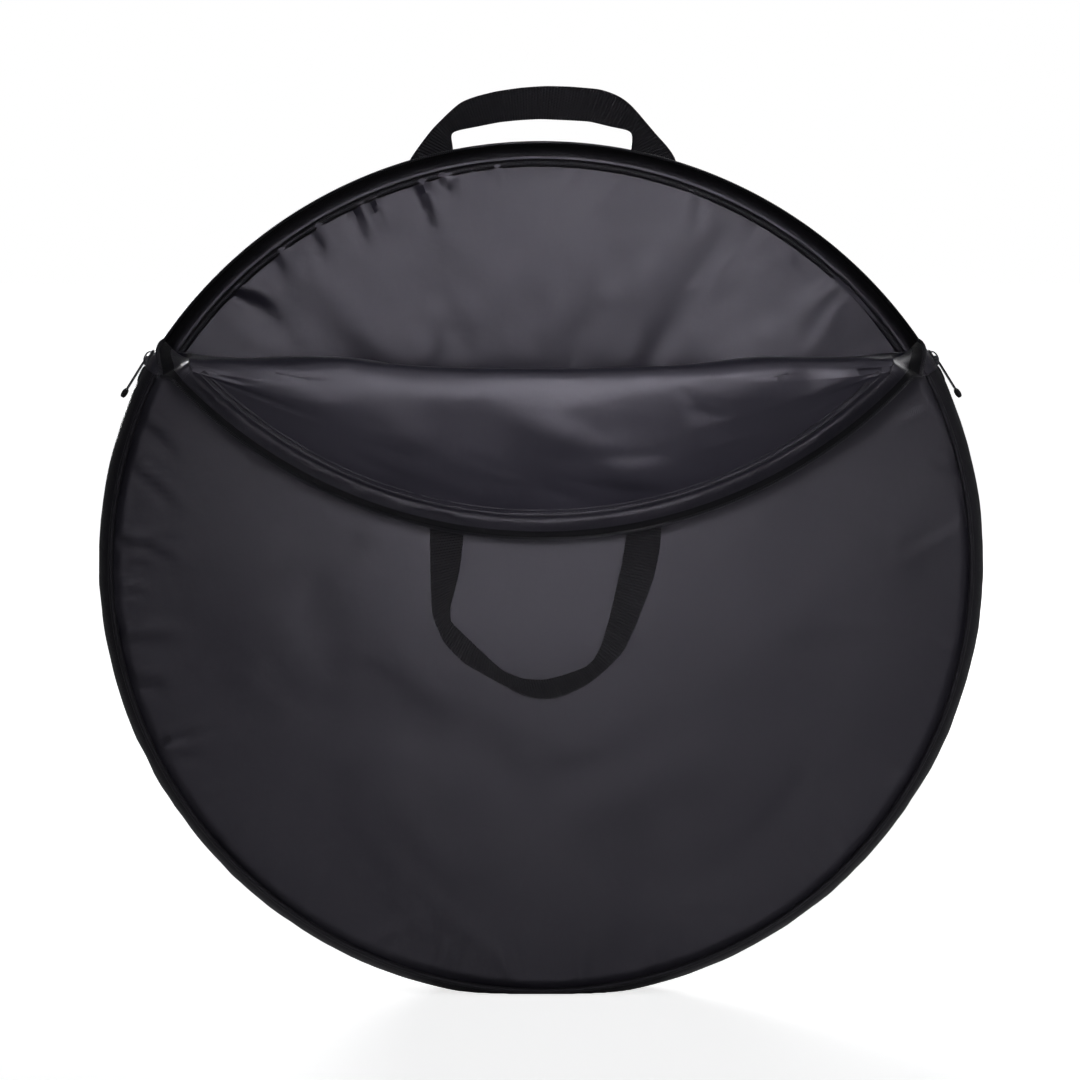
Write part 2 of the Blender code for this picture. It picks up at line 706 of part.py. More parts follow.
def build_front_handle(panel, webbing):
    """Handle on the flap: two sewn ends that climb on to the piping, and the loop that hangs from them."""
    hinge = panel.parent
    origin = np.asarray(hinge.location)
    closed = front_hinge_closed()
    ramp_lift = -closed[1] - webbing_thickness / 2 - half_depth
    for name, x in (("front_handle_end_left", front_handle_shift - front_foot_x),
                    ("front_handle_end_right", front_handle_shift + front_foot_x)):
        end = closed[2] - loop_clearance
        outer_edge = front_foot_x + front_handle_shift + webbing_width / 2
        ramp_end = seam_height(outer_edge) - piping_radius * 2
        ramp_start = ramp_end - ramp_length
        heights = np.concatenate([np.linspace(ramp_start - sewn_length, ramp_start, sewn_rows),
                                  np.linspace(ramp_start, ramp_end, ramp_steps + 1)[1:], [end]])
        shares = np.clip((heights - ramp_start) / ramp_length, 0, 1)
        lifts = seat_gap + (ramp_lift - seat_gap) * shares * shares * (3 - 2 * shares)
        grids = face_strip(panel, x, heights - origin[2], lifts, -1)
        add_piece(name, *slab(*grids), webbing, parent=hinge)
    hung = opened(closed)
    corners = [(-front_foot_x, hung[2]), (-front_foot_x, front_loop_height),
               (front_foot_x, front_loop_height), (front_foot_x, hung[2])]
    path = rounded_path([(front_handle_shift + x, hung[1], z) for x, z in corners], front_bend_radius)
    add_piece("front_handle", *ribbon(path, (0, 1, 0), webbing_width, webbing_thickness), webbing,
              origin=(0, hung[1], hung[2]))


def slider_shapes(way):
    """Slider at the top of the zip's circle, about its centre; its open end points along way."""
    length, width = slider_half_length, slider_half_width
    coil_top = zip_radius - coil_depth + coil_radius
    coil_bottom = zip_radius - coil_depth - coil_radius
    tape_top = zip_radius - tape_depth
    tape_bottom = tape_top - tape_thickness - lip_relief
    top = (coil_top + slider_clearance, coil_top + slider_clearance + slider_plate)
    bottom = (coil_bottom - slider_clearance - slider_plate, coil_bottom - slider_clearance)
    overlap = slider_plate / 2
    shapes = [block((-length, -width, top[0]), (length, width, top[1])),
              block((-length, -width, bottom[0]), (length, width, bottom[1]))]
    for side in (-1, 1):
        ys = sorted((side * slider_lip_inner_y, side * (width - merge_distance)))
        shapes.append(block((-length + merge_distance, ys[0], tape_top + slider_clearance),
                            (length - merge_distance, ys[1], top[0] + overlap)))
        shapes.append(block((-length + merge_distance, ys[0], bottom[1] - overlap),
                            (length - merge_distance, ys[1], tape_bottom - slider_clearance)))
    xs = sorted((way * post_start, way * post_end))
    shapes.append(block((xs[0], -post_half_width, bottom[1] - overlap),
                        (xs[1], post_half_width, top[0] + overlap)))
    turns = np.linspace(0, math.pi, bail_steps + 1)
    inner_height = pin_radius * 2 + slider_clearance * 2
    height = inner_height + bail_thickness / 2 + overlap
    path = np.stack([-bail_half_length * np.cos(turns), np.zeros_like(turns),
                     top[1] - overlap + height * np.sin(turns) ** bail_squareness], axis=-1)
    ahead = unit(np.gradient(path, axis=0))
    normals = np.cross(ahead, (0.0, 1.0, 0.0))
    corners = [(1, 1), (-1, 1), (-1, -1), (1, -1)]
    sideways = np.array([0, bail_width / 2, 0])
    rings = np.stack([path + sideways * a + normals * bail_thickness / 2 * b for a, b in corners], axis=1)
    shapes.append(loft(rings))
    return shapes, top[1]


def pull_shapes(way, pin_height):
    """Pull tab about its pin at the slider's middle; it points away from way."""
    turns = np.arange(pin_sides) * 2 * math.pi / pin_sides
    ring = np.stack([pin_radius * np.cos(turns), np.zeros(pin_sides), pin_radius * np.sin(turns)], axis=-1)
    pin = loft(np.stack([ring + np.array([0, y, pin_height]) for y in (-pin_half_length, pin_half_length)]))
    half = tab_thickness / 2
    shapes = [pin]
    for side in (-1, 1):
        ys = sorted((side * arm_inner_y, side * (pin_half_length - merge_distance)))
        xs = sorted((0, -way * (tab_start + half)))
        level = half * arm_share
        shapes.append(block((xs[0], ys[0], pin_height - level), (xs[1], ys[1], pin_height + level)))
    neck = tab_start + tab_thickness
    outline = [(tab_start, pin_half_length + merge_distance), (neck, tab_half_width),
               (tab_start + tab_length, tab_half_width)]
    ring = [(-way * x, y) for x, y in outline] + [(-way * x, -y) for x, y in reversed(outline)]
    shapes.append(loft(np.array([[(x, y, pin_height + level) for x, y in ring] for level in (-half, half)])))
    return shapes


def grip_shape(way, pin_height):
    """Rounded rubber end of the pull tab."""
    start = tab_start + tab_length + seat_gap
    shares = np.linspace(0, 1, grip_steps + 1)
    swell_shares = grip_end_share + (1 - grip_end_share) * np.sqrt(np.sin(math.pi * shares))
    turns = np.arange(grip_sides) * 2 * math.pi / grip_sides
    rings = []
    for share, swell in zip(shares, swell_shares):
        x = -way * (start + grip_length * share)
        y = grip_half_width * swell * np.cos(turns)
        z = pin_height + grip_half_thickness * swell * np.sin(turns)
        rings.append(np.stack([np.full_like(turns, x), y, z], axis=-1))
    return loft(np.array(rings))


def build_sliders(metal, rubber):
    """Two sliders, parked at the zip's ends, each with a pull tab that lies along the rim below it."""
    park_turn = zip_end_turn - zip_length_turn(slider_park)
    for name, side in (("left", -1), ("right", 1)):
        way = -side
        shapes, plate_top = slider_shapes(way)
        slider = unite(name + "_slider", shapes, metal)
        slider.location = (0, 0, zip_centre_height)
        slider.rotation_euler = (0, side * park_turn, 0)
        pin_height = plate_top + slider_clearance + pin_radius
        pin = (0, 0, pin_height)
        unite(name + "_pull_tab", pull_shapes(way, pin_height), metal, origin=pin, parent=slider)
        add_piece(name + "_pull_grip", *grip_shape(way, pin_height), rubber, origin=pin, parent=slider)


def main():
    for old in list(bpy.data.objects):
        bpy.data.objects.remove(old)
    cloth = make_material("bag_cloth", (0.020, 0.020, 0.025), 0.55)
    foam = make_material("foam", (0.045, 0.045, 0.050), 0.90)
    lining = make_material("lining_cloth", (0.026, 0.025, 0.031), 0.50)
    band = make_material("band_cloth", (0.012, 0.012, 0.015), 0.62)
    trim = make_material("piping_cord", (0.010, 0.010, 0.012), 0.55)
    webbing = make_material("webbing", (0.009, 0.009, 0.011), 0.68)
    tape = make_material("zip_tape", (0.010, 0.010, 0.012), 0.75)
    coil = make_material("zip_coil", (0.012, 0.012, 0.013), 0.38)
    metal = make_material("slider_metal", (0.030, 0.030, 0.033), 0.35, 1.0)
    rubber = make_material("grip_rubber", (0.012, 0.012, 0.012), 0.60)
    plastic = make_material("guard_plastic", (0.015, 0.015, 0.016), 0.45)

    hinge = bpy.data.objects.new("flap_hinge", None)
    hinge.location = (0, fold_axis_y, fold_axis_height)
    hinge.rotation_euler = (fold_turn, 0, 0)
    bpy.context.scene.collection.objects.link(hinge)

    rear_shell = build_rear_panel(cloth, foam, lining)
    build_front_panel(cloth, foam, lining)
    build_axle_guards(plastic)
    build_gusset(cloth, lining)
    build_rim_trim(trim, band)
    build_rear_zip(band, tape, coil)
    build_zip_ends(band)
    flap_shell = build_flap(hinge, cloth, foam, lining, tape, coil, trim, band)
    build_front_fold(lining)
    build_fold_sides(band, tape, coil)
    bpy.context.view_layer.update()
    build_top_handle(rear_shell, webbing)
    build_front_handle(flap_shell, webbing)
    build_sliders(metal, rubber)


main()
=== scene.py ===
import bpy
import bmesh
import math
import numpy as np
from mathutils import Matrix, Vector


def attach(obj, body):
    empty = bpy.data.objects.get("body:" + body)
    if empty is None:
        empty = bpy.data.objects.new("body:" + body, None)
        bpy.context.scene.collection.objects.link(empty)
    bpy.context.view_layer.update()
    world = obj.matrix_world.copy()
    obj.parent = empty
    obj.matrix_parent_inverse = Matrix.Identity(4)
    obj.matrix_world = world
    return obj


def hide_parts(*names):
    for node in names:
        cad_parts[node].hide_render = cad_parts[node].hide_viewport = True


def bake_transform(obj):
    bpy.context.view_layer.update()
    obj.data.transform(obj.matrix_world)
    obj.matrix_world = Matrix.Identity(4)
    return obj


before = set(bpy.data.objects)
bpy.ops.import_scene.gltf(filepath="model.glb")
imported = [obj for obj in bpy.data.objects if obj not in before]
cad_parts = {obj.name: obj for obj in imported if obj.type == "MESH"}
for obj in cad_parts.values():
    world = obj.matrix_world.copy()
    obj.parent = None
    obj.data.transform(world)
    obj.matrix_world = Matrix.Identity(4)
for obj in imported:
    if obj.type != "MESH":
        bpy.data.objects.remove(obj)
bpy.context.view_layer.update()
print("frame loaded")

# Sizes shared by all panels, in metres, the same as the solids have
bagForm = dict(
    radius=0.380, baseCut=0.009, topShare=0.958, zipEndShare=0.455, edgeShare=0.384, foldShare=0.537,
    halfDepth=0.026, rimInset=0.013, bulge=0.030, shell=0.0008, padding=0.0050, lining=0.0006, gap=0.0003,
    edgePower=6, rootShare=0.304, rootEndShare=0.250, foldY=-0.066, foldTurn=math.radians(195), stripRun=0.020,
    rollReach=0.46, spineStart=0.07, spineEnd=0.34, seamTuck=0.014, seamDip=0.006, pipingRadius=0.0022,
    strapWidth=0.030, strapThickness=0.0020, guardRadius=0.062,
)
bagRadius, halfDepth, rimInset, shell, gap, pipingRadius, strapWidth, strapThickness, guardRadius = (
    bagForm[name] for name in ("radius", "halfDepth", "rimInset", "shell", "gap", "pipingRadius", "strapWidth",
                               "strapThickness", "guardRadius"))
centreZ = bagRadius - bagForm["baseCut"]
topHeight, zipEndHeight, edgeHeight, foldZ = (
    centreZ + bagRadius * bagForm[name] for name in ("topShare", "zipEndShare", "edgeShare", "foldShare"))
zipEndX = math.sqrt(bagRadius ** 2 - (zipEndHeight - centreZ) ** 2)
zipRise = topHeight - zipEndHeight
rootHeight, rootEndHeight = (zipEndHeight + zipRise * bagForm[name] for name in ("rootShare", "rootEndShare"))
zipRadius = (zipEndX ** 2 + zipRise ** 2) / (2 * zipRise)
zipCentreZ = topHeight - zipRadius
zipEndTurn = math.atan2(zipEndX, zipEndHeight - zipCentreZ)
zipEndAngle = math.atan2(zipEndHeight - centreZ, zipEndX)
zipStart, runEnd = zipEndTurn - gap / zipRadius, zipEndTurn - bagForm["stripRun"] / zipRadius
paddingDepth = shell + gap
wallDepth = paddingDepth + bagForm["padding"] + gap + bagForm["lining"]
pipingY = halfDepth + gap + pipingRadius
upperSeam = zipRadius - rimInset
flapTurn = math.acos((rootEndHeight - zipCentreZ) / upperSeam)
rootHalfWidth = upperSeam * math.sin(flapTurn)


def ease(t):  # 3t² - 2t³, from 0 to 1 with level ends
    t = np.clip(t, 0, 1)
    return t * t * (3 - 2 * t)


def unit(v):  # each vector over its own length
    return v / np.maximum(np.linalg.norm(v, axis=-1, keepdims=True), 1e-12)


def bell(x, width):  # exp(-(x/width)²)
    return np.exp(-(x / width) ** 2)


def runLength(path):  # the way from the first row of points to each
    steps = np.linalg.norm(np.diff(path, axis=0), axis=-1)
    return np.concatenate([0 * steps[:1], np.cumsum(steps, axis=0)])


def pointsAt(path, length, place):  # the path's points at the given places along its length
    return np.stack([np.interp(place, length, path[:, k]) for k in range(path.shape[1])], axis=-1)


def hills(a, b, cell, seed, octaves=3):
    # smooth random hills: eased steps between the random heights of a lattice, halved in size and height each time
    total = np.zeros(np.broadcast(a, b).shape)
    for octave in range(octaves):
        lattice = np.random.default_rng(seed + octave).uniform(-1, 1, (61, 61))
        u, v = a / cell * 2 ** octave + 0.37 * octave, b / cell * 2 ** octave
        i, j = np.floor(u).astype(int), np.floor(v).astype(int)
        s, t = ease(u - i), ease(v - j)
        low, high = (lattice[i % 61, k % 61] * (1 - s) + lattice[(i + 1) % 61, k % 61] * s for k in (j, j + 1))
        total = total + (low * (1 - t) + high * t) / 2 ** octave
    return total


def creases(a, b, lines):
    # each line (a0, b0, a1, b1, width, height) is a soft ridge with a shallow valley on one side; it is narrow at its
    # start, at a seam, and widens and dies out along its way
    total = np.zeros(np.broadcast(a, b).shape)
    for a0, b0, a1, b1, width, height in lines:
        length = math.hypot(a1 - a0, b1 - b0)
        da, db = (a1 - a0) / length, (b1 - b0) / length
        along = ((a - a0) * da + (b - b0) * db) / length
        off = (a - a0) * db - (b - b0) * da + width * 0.4 * np.sin(along * 3.0)
        wide = width * (0.55 + 0.9 * np.clip(along, 0, 1))
        fade = ease((along + 0.25) / 0.25) * (1 - ease((along - 0.15) / 0.85))
        total = total + height * fade * (bell(off, wide) - 0.7 * bell(off - 1.5 * wide, wide))
    return total


def seamRadius(turn):  # inside the lower circle, or inside the zip's circle where that is smaller
    drop = centreZ - zipCentreZ
    upper = -drop * np.sin(turn) + np.sqrt(zipRadius ** 2 - (drop * np.cos(turn)) ** 2)
    return np.minimum(bagRadius, upper) - rimInset


def polar(turn, radius, across):  # a point from its angle and radius about the centre, and its place across the bag
    turn, radius, across = np.broadcast_arrays(turn, radius, across)
    return np.stack([radius * np.cos(turn), across, centreZ + radius * np.sin(turn)], axis=-1)


def rimGrid(turns, rounds, depth):
    # a strip round the rim: half an ellipse from the rear seam to the front seam, pressed flat on the floor
    turns, rounds = np.asarray(turns)[:, None], np.asarray(rounds)[None, :]
    radius = seamRadius(turns) + (rimInset - depth) * np.sin(rounds)
    lift = np.maximum(-np.sin(turns), math.sin(math.radians(1)))
    return polar(turns, np.minimum(radius, centreZ / lift - depth), (halfDepth - depth) * np.cos(rounds))


def rimRound(across, depth=0.0):  # the angle round the rim at a place across the bag
    return math.acos(across / (halfDepth - depth))


def faceAt(x, z, side, depth):
    # a domed face: the seam's level plus a swell that falls as a squared cosine from the centre to the seam
    x, z = np.broadcast_arrays(np.asarray(x, float), np.asarray(z, float))
    turn, radius = np.arctan2(z - centreZ, x), np.hypot(x, z - centreZ)
    swell = bagForm["bulge"] * np.cos(np.minimum(radius / seamRadius(turn), 1) * math.pi / 2) ** 2
    return polar(turn, radius, side * (halfDepth + swell - depth))


def turned(ways, turn=bagForm["foldTurn"]):  # directions turned about the axis across the bag
    x, y, z = np.moveaxis(ways, -1, 0)
    c, s = np.cos(turn), np.sin(turn)
    return np.stack([x, y * c - z * s, y * s + z * c], axis=-1)


def opened(points):  # the zipped-up flap's points, turned down about the fold
    axis = np.array([0, bagForm["foldY"], foldZ])
    return axis + turned(points - axis)


def zipAngles(start, end, count):  # angles about the bag's centre of even steps along the zip line
    turns = np.linspace(start, end, count)
    return np.arctan2(zipCentreZ + zipRadius * np.cos(turns) - centreZ, zipRadius * np.sin(turns))


def bezier(start, startWay, end, endWay, shares, startReach, endReach):  # cubic curves between two rows of points
    span = np.linalg.norm(end - start, axis=-1, keepdims=True)
    out, into = start + unit(startWay) * span * startReach, end - unit(endWay) * span * endReach
    t = np.asarray(shares).reshape(-1, 1, 1)
    return (1 - t) ** 3 * start + 3 * t * (1 - t) ** 2 * out + 3 * t ** 2 * (1 - t) * into + t ** 3 * end


def gridFaces(rows, columns, start=0, flip=False):  # the quads between the points of a grid
    i, j = np.meshgrid(np.arange(rows - 1), np.arange(columns - 1), indexing="ij")
    a = (start + i * columns + j).ravel()
    quads = np.stack([a, a + columns, a + columns + 1, a + 1], axis=1)
    return quads[:, ::-1] if flip else quads


def pieceFrom(name, points, faces, uv, material):
    # a closed mesh: points that coincide are merged and every face is turned outwards
    mesh = bpy.data.meshes.new(name)
    mesh.from_pydata(np.asarray(points, float).tolist(), [], faces if isinstance(faces, list) else faces.tolist())
    layer = mesh.uv_layers.new(name="cloth")
    corner = np.zeros(len(mesh.loops), np.int32)
    mesh.loops.foreach_get("vertex_index", corner)
    layer.data.foreach_set("uv", np.asarray(uv, np.float32)[corner].ravel())
    shape = bmesh.new()
    shape.from_mesh(mesh)
    bmesh.ops.remove_doubles(shape, verts=shape.verts[:], dist=2e-6)
    bmesh.ops.dissolve_degenerate(shape, edges=shape.edges[:], dist=1e-7)
    bmesh.ops.recalc_face_normals(shape, faces=shape.faces[:])
    shape.to_mesh(mesh)
    shape.free()
    mesh.shade_smooth()
    mesh.set_sharp_from_angle(angle=math.radians(48))
    mesh.materials.append(material)
    piece = bpy.data.objects.new(name, mesh)
    bpy.context.scene.collection.objects.link(piece)
    return piece


def surfaceUv(grid):  # metres along the rows and the columns, measured through the middle of the grid
    rows, columns = grid.shape[:2]
    down, along = runLength(grid[:, columns // 2]), runLength(grid[rows // 2])
    return np.stack(np.broadcast_arrays(along[None, :], down[:, None]), axis=-1)


def sheetPiece(name, outer, inner, material, wrap=False, uv=None):
    # the body between two grids: both sides, and a strip along each edge that doesn't close on itself
    rows, columns = outer.shape[:2]
    count = rows * columns
    index = np.arange(count).reshape(rows, columns)
    faces = [gridFaces(rows, columns), gridFaces(rows, columns, count, True)]
    for edge in [index[:, 0], index[:, -1]] + ([] if wrap else [index[0], index[-1]]):
        faces.append(np.stack([edge[:-1], edge[1:], edge[1:] + count, edge[:-1] + count], axis=1))
    points = np.concatenate([outer.reshape(-1, 3), inner.reshape(-1, 3)])
    uv = surfaceUv(outer) if uv is None else uv
    return pieceFrom(name, points, np.concatenate(faces), np.tile(uv.reshape(-1, 2), (2, 1)), material)


def loftPiece(name, rings, material, closed=False):
    # a skin through a row of rings, with a middle point at either end
    count, sides = rings.shape[:2]
    full = np.concatenate([rings, rings[:, :1]], axis=1)
    middle = rings.mean(axis=1)
    girth = runLength(full.swapaxes(0, 1)).T
    uv = np.stack(np.broadcast_arrays(girth, runLength(middle)[:, None]), axis=-1)
    faces = gridFaces(count, sides + 1).tolist()
    points, uvs = full.reshape(-1, 3), uv.reshape(-1, 2)
    if not closed:
        for ring, centre in ((0, middle[0]), (count - 1, middle[-1])):
            hub, start = len(points), ring * (sides + 1)
            points, uvs = np.concatenate([points, [centre]]), np.concatenate([uvs, [uv[ring, 0]]])
            faces += [[start + k, start + k + 1, hub] for k in range(sides)]
    return pieceFrom(name, points, faces, uvs, material)


def ringsRound(path, across, beside, radius, sides):  # a ring about each point, in the plane of two directions
    turns = np.linspace(0, 2 * math.pi, sides, endpoint=False)[:, None]
    radius = np.broadcast_to(radius, len(path))[:, None, None]
    return path[:, None] + radius * (np.cos(turns) * across[:, None] + np.sin(turns) * beside[:, None])


def tubeRings(path, across, radius, sides):
    # rings about a path, carried on the direction across it; radius may be a number or one for each point
    ahead = unit(np.gradient(path, axis=0))
    across = unit(across - ahead * np.sum(across * ahead, axis=-1, keepdims=True))
    return ringsRound(path, across, np.cross(ahead, across), radius, sides)


def averaged(row):  # each point but the outer ones, averaged with its neighbours
    row[1:-1] = (row[:-2] + 2 * row[1:-1] + row[2:]) / 4


def refined(field, rows, columns):
    # the same field on a finer grid: straight between its points, then averaged with its neighbours
    for axis, count in ((0, rows), (1, columns)):
        place = np.linspace(0, field.shape[axis] - 1, count)
        low = np.minimum(place.astype(int), field.shape[axis] - 2)
        share = (place - low).reshape([-1 if k == axis else 1 for k in range(3)])
        field = np.take(field, low, axis) * (1 - share) + np.take(field, low + 1, axis) * share
    for _ in range(2):
        averaged(field)
        averaged(field.swapaxes(0, 1))
    return field


def draped(name, grid, outward, held, loose, recipe, wrap=False):
    # cloth simulation of one layer, held along its seams and cut larger where it is loose; gives each point's move
    rows, columns = grid.shape[:2]
    used = rows - 1 if wrap else rows
    index = np.arange(used * columns).reshape(used, columns)
    ring = np.concatenate([index, index[:1]]) if wrap else index
    quads = np.stack([ring[:-1, :-1], ring[1:, :-1], ring[1:, 1:], ring[:-1, 1:]], axis=-1).reshape(-1, 4)
    normals = np.cross(np.gradient(grid, axis=0), np.gradient(grid, axis=1))
    if np.sum(normals * outward) < 0:
        quads = quads[:, ::-1]
    start = grid[:used].reshape(-1, 3)
    mesh = bpy.data.meshes.new(name)
    mesh.from_pydata(start.tolist(), [], quads.tolist())
    sheet = bpy.data.objects.new(name, mesh)
    scene = bpy.context.scene
    scene.collection.objects.link(sheet)
    for label, weights in (("held", held), ("loose", loose)):
        group = sheet.vertex_groups.new(name=label)
        levels = np.round(np.broadcast_to(weights, (rows, columns))[:used].ravel() * 20).astype(int)
        for level in range(1, 21):
            group.add(np.flatnonzero(levels == level).tolist(), level / 20, "REPLACE")
    modifier = sheet.modifiers.new("drape", "CLOTH")
    cloth = modifier.settings
    cloth.vertex_group_mass, cloth.vertex_group_shrink = "held", "loose"
    cloth.shrink_min, cloth.shrink_max = 0.0, -recipe["spare"]
    cloth.quality, cloth.mass, cloth.air_damping = 6, recipe["mass"], 3.0
    cloth.tension_stiffness = cloth.compression_stiffness = recipe["stretch"]
    cloth.shear_stiffness, cloth.bending_stiffness = recipe["stretch"] / 3, recipe["bend"]
    cloth.use_pressure, cloth.uniform_pressure_force = True, recipe["pressure"]
    cloth.effector_weights.gravity = 0
    modifier.collision_settings.use_collision = False
    for step in range(1, recipe["frames"] + 1):
        scene.frame_set(step)
    shape = sheet.evaluated_get(bpy.context.evaluated_depsgraph_get()).to_mesh()
    points = np.empty(len(shape.vertices) * 3)
    shape.vertices.foreach_get("co", points)
    scene.frame_set(1)
    bpy.data.objects.remove(sheet)
    bpy.data.meshes.remove(mesh)
    move = (points.reshape(-1, 3) - start).reshape(used, columns, 3)
    size = np.linalg.norm(move, axis=-1, keepdims=True)
    move = move * recipe["cap"] * np.tanh(size / recipe["cap"]) / np.maximum(size, 1e-9)
    print(name, "draped, farthest move", round(float(size.max()) * 1000, 1), "mm")
    return np.concatenate([move, move[:1]]) if wrap else move


# Materials

def plug(tree, socket, value):  # a node's output is linked, a constant is set, and None leaves the socket alone
    if isinstance(value, bpy.types.NodeSocket):
        tree.links.new(value, socket)
    elif value is not None:
        socket.default_value = value


def addNode(tree, kind, settings=None, **inputs):  # each new node stands to the right of the ones before it
    node = tree.nodes.new("ShaderNode" + kind)
    node.location = (200 * len(tree.nodes), 0)
    for name, value in (settings or {}).items():
        setattr(node, name, value)
    for name, value in inputs.items():
        plug(tree, node.inputs[name.replace("_", " ")], value)
    return node.outputs


def mathNode(tree, operation, *values):
    node = tree.nodes.new("ShaderNodeMath")
    node.operation, node.location = operation, (200 * len(tree.nodes), -300)
    for socket, value in zip(node.inputs, values):
        plug(tree, socket, value)
    return node.outputs[0]


def newGroup(name, outputs, **inputs):
    # gives the group, its given sockets (a vector and the named numbers) and the sockets that it fills
    group = bpy.data.node_groups.new(name, "ShaderNodeTree")
    group.interface.new_socket(name="Vector", in_out="INPUT", socket_type="NodeSocketVector")
    for label, value in inputs.items():
        group.interface.new_socket(name=label, in_out="INPUT", socket_type="NodeSocketFloat").default_value = value
    for label in outputs:
        group.interface.new_socket(name=label, in_out="OUTPUT", socket_type="NodeSocketFloat")
    return group, group.nodes.new("NodeGroupInput").outputs, group.nodes.new("NodeGroupOutput").inputs


def makeWeaveGroup():
    # plain weave: a sine of x + y times a sine of z - y, so that every other crossing stands up and no side is bare
    group, given, out = newGroup("plainWeave", ["Height"], Thread=0.0006)
    parts = addNode(group, "SeparateXYZ", Vector=given["Vector"])
    rate = mathNode(group, "DIVIDE", math.pi, given["Thread"])
    waves = []
    for operation, axis in (("ADD", "X"), ("SUBTRACT", "Z")):
        place = mathNode(group, operation, parts[axis], parts["Y"])
        waves.append(mathNode(group, "SINE", mathNode(group, "MULTIPLY", place, rate)))
    crossing = mathNode(group, "MULTIPLY", *waves)
    noise = addNode(group, "TexNoise", Vector=given["Vector"], Scale=900.0, Detail=2.0)
    plug(group, out["Height"], mathNode(group, "ADD", crossing, mathNode(group, "MULTIPLY", noise[0], 0.5)))
    return group


def makeRibGroup():
    # webbing: rounded ribs across the strap, each cut into short floats that step from rib to rib
    group, given, out = newGroup("webRibs", ["Height", "GrooveShade"], Rib=0.0018, Float=0.0011)
    parts = addNode(group, "SeparateXYZ", Vector=given["Vector"])
    along = mathNode(group, "DIVIDE", parts["Y"], given["Rib"])
    across = mathNode(group, "DIVIDE", parts["X"], given["Float"])
    shifted = mathNode(group, "ADD", across, mathNode(group, "MULTIPLY", mathNode(group, "FLOOR", along), 0.5))
    waves = []
    for place, power in ((along, 0.6), (shifted, 0.35)):
        wave = mathNode(group, "SINE", mathNode(group, "MULTIPLY", place, math.pi))
        waves.append(mathNode(group, "POWER", mathNode(group, "ABSOLUTE", wave), power))
    height = mathNode(group, "MULTIPLY", *waves)
    plug(group, out["Height"], height)
    # GrooveShade is painted shade: one less the rib height, so it is darkest in the grooves between the ribs
    plug(group, out["GrooveShade"], mathNode(group, "SUBTRACT", 1.0, height))
    return group


def makeCrinkleGroup():
    # the small unevenness of hung cloth: a broad noise with little detail, and a tenth of a finer one
    group, given, out = newGroup("crinkle", ["Height"], Scale=14.0)
    broad = addNode(group, "TexNoise", Vector=given["Vector"], Scale=given["Scale"], Detail=2.0, Roughness=0.4,
                    Distortion=0.5)
    fineScale = mathNode(group, "MULTIPLY", given["Scale"], 6.0)
    fine = addNode(group, "TexNoise", Vector=given["Vector"], Scale=fineScale, Detail=4.0, Roughness=0.5)
    plug(group, out["Height"], mathNode(group, "ADD", broad[0], mathNode(group, "MULTIPLY", fine[0], 0.1)))
    return group


def makeDustGroup():
    # lint and dust: scattered specks, and a haze that gathers where the cloth faces up
    group, given, out = newGroup("dust", ["Mask"], Amount=0.1)
    cloud = addNode(group, "TexNoise", Vector=given["Vector"], Scale=9.0, Detail=5.0, Roughness=0.62)
    speck = addNode(group, "TexVoronoi", Vector=given["Vector"], Scale=160.0)
    up = addNode(group, "SeparateXYZ", Vector=addNode(group, "NewGeometry")["Normal"])
    haze = mathNode(group, "MULTIPLY", mathNode(group, "MAXIMUM", up["Z"], 0.15), cloud[0])
    dot = mathNode(group, "MULTIPLY", mathNode(group, "LESS_THAN", speck["Distance"], 0.045), 0.8)
    plug(group, out["Mask"], mathNode(group, "MULTIPLY", mathNode(group, "ADD", haze, dot), given["Amount"]))
    return group


groups = dict(weave=makeWeaveGroup(), rib=makeRibGroup(), crinkle=makeCrinkleGroup(), dust=makeDustGroup())


def useGroup(tree, name, vector, **inputs):
    return addNode(tree, "Group", dict(node_tree=groups[name]), Vector=vector, **inputs)


def bumpFrom(tree, height, distance, before=None, strength=1.0):
    return addNode(tree, "Bump", Height=height, Distance=distance, Normal=before, Strength=strength)["Normal"]


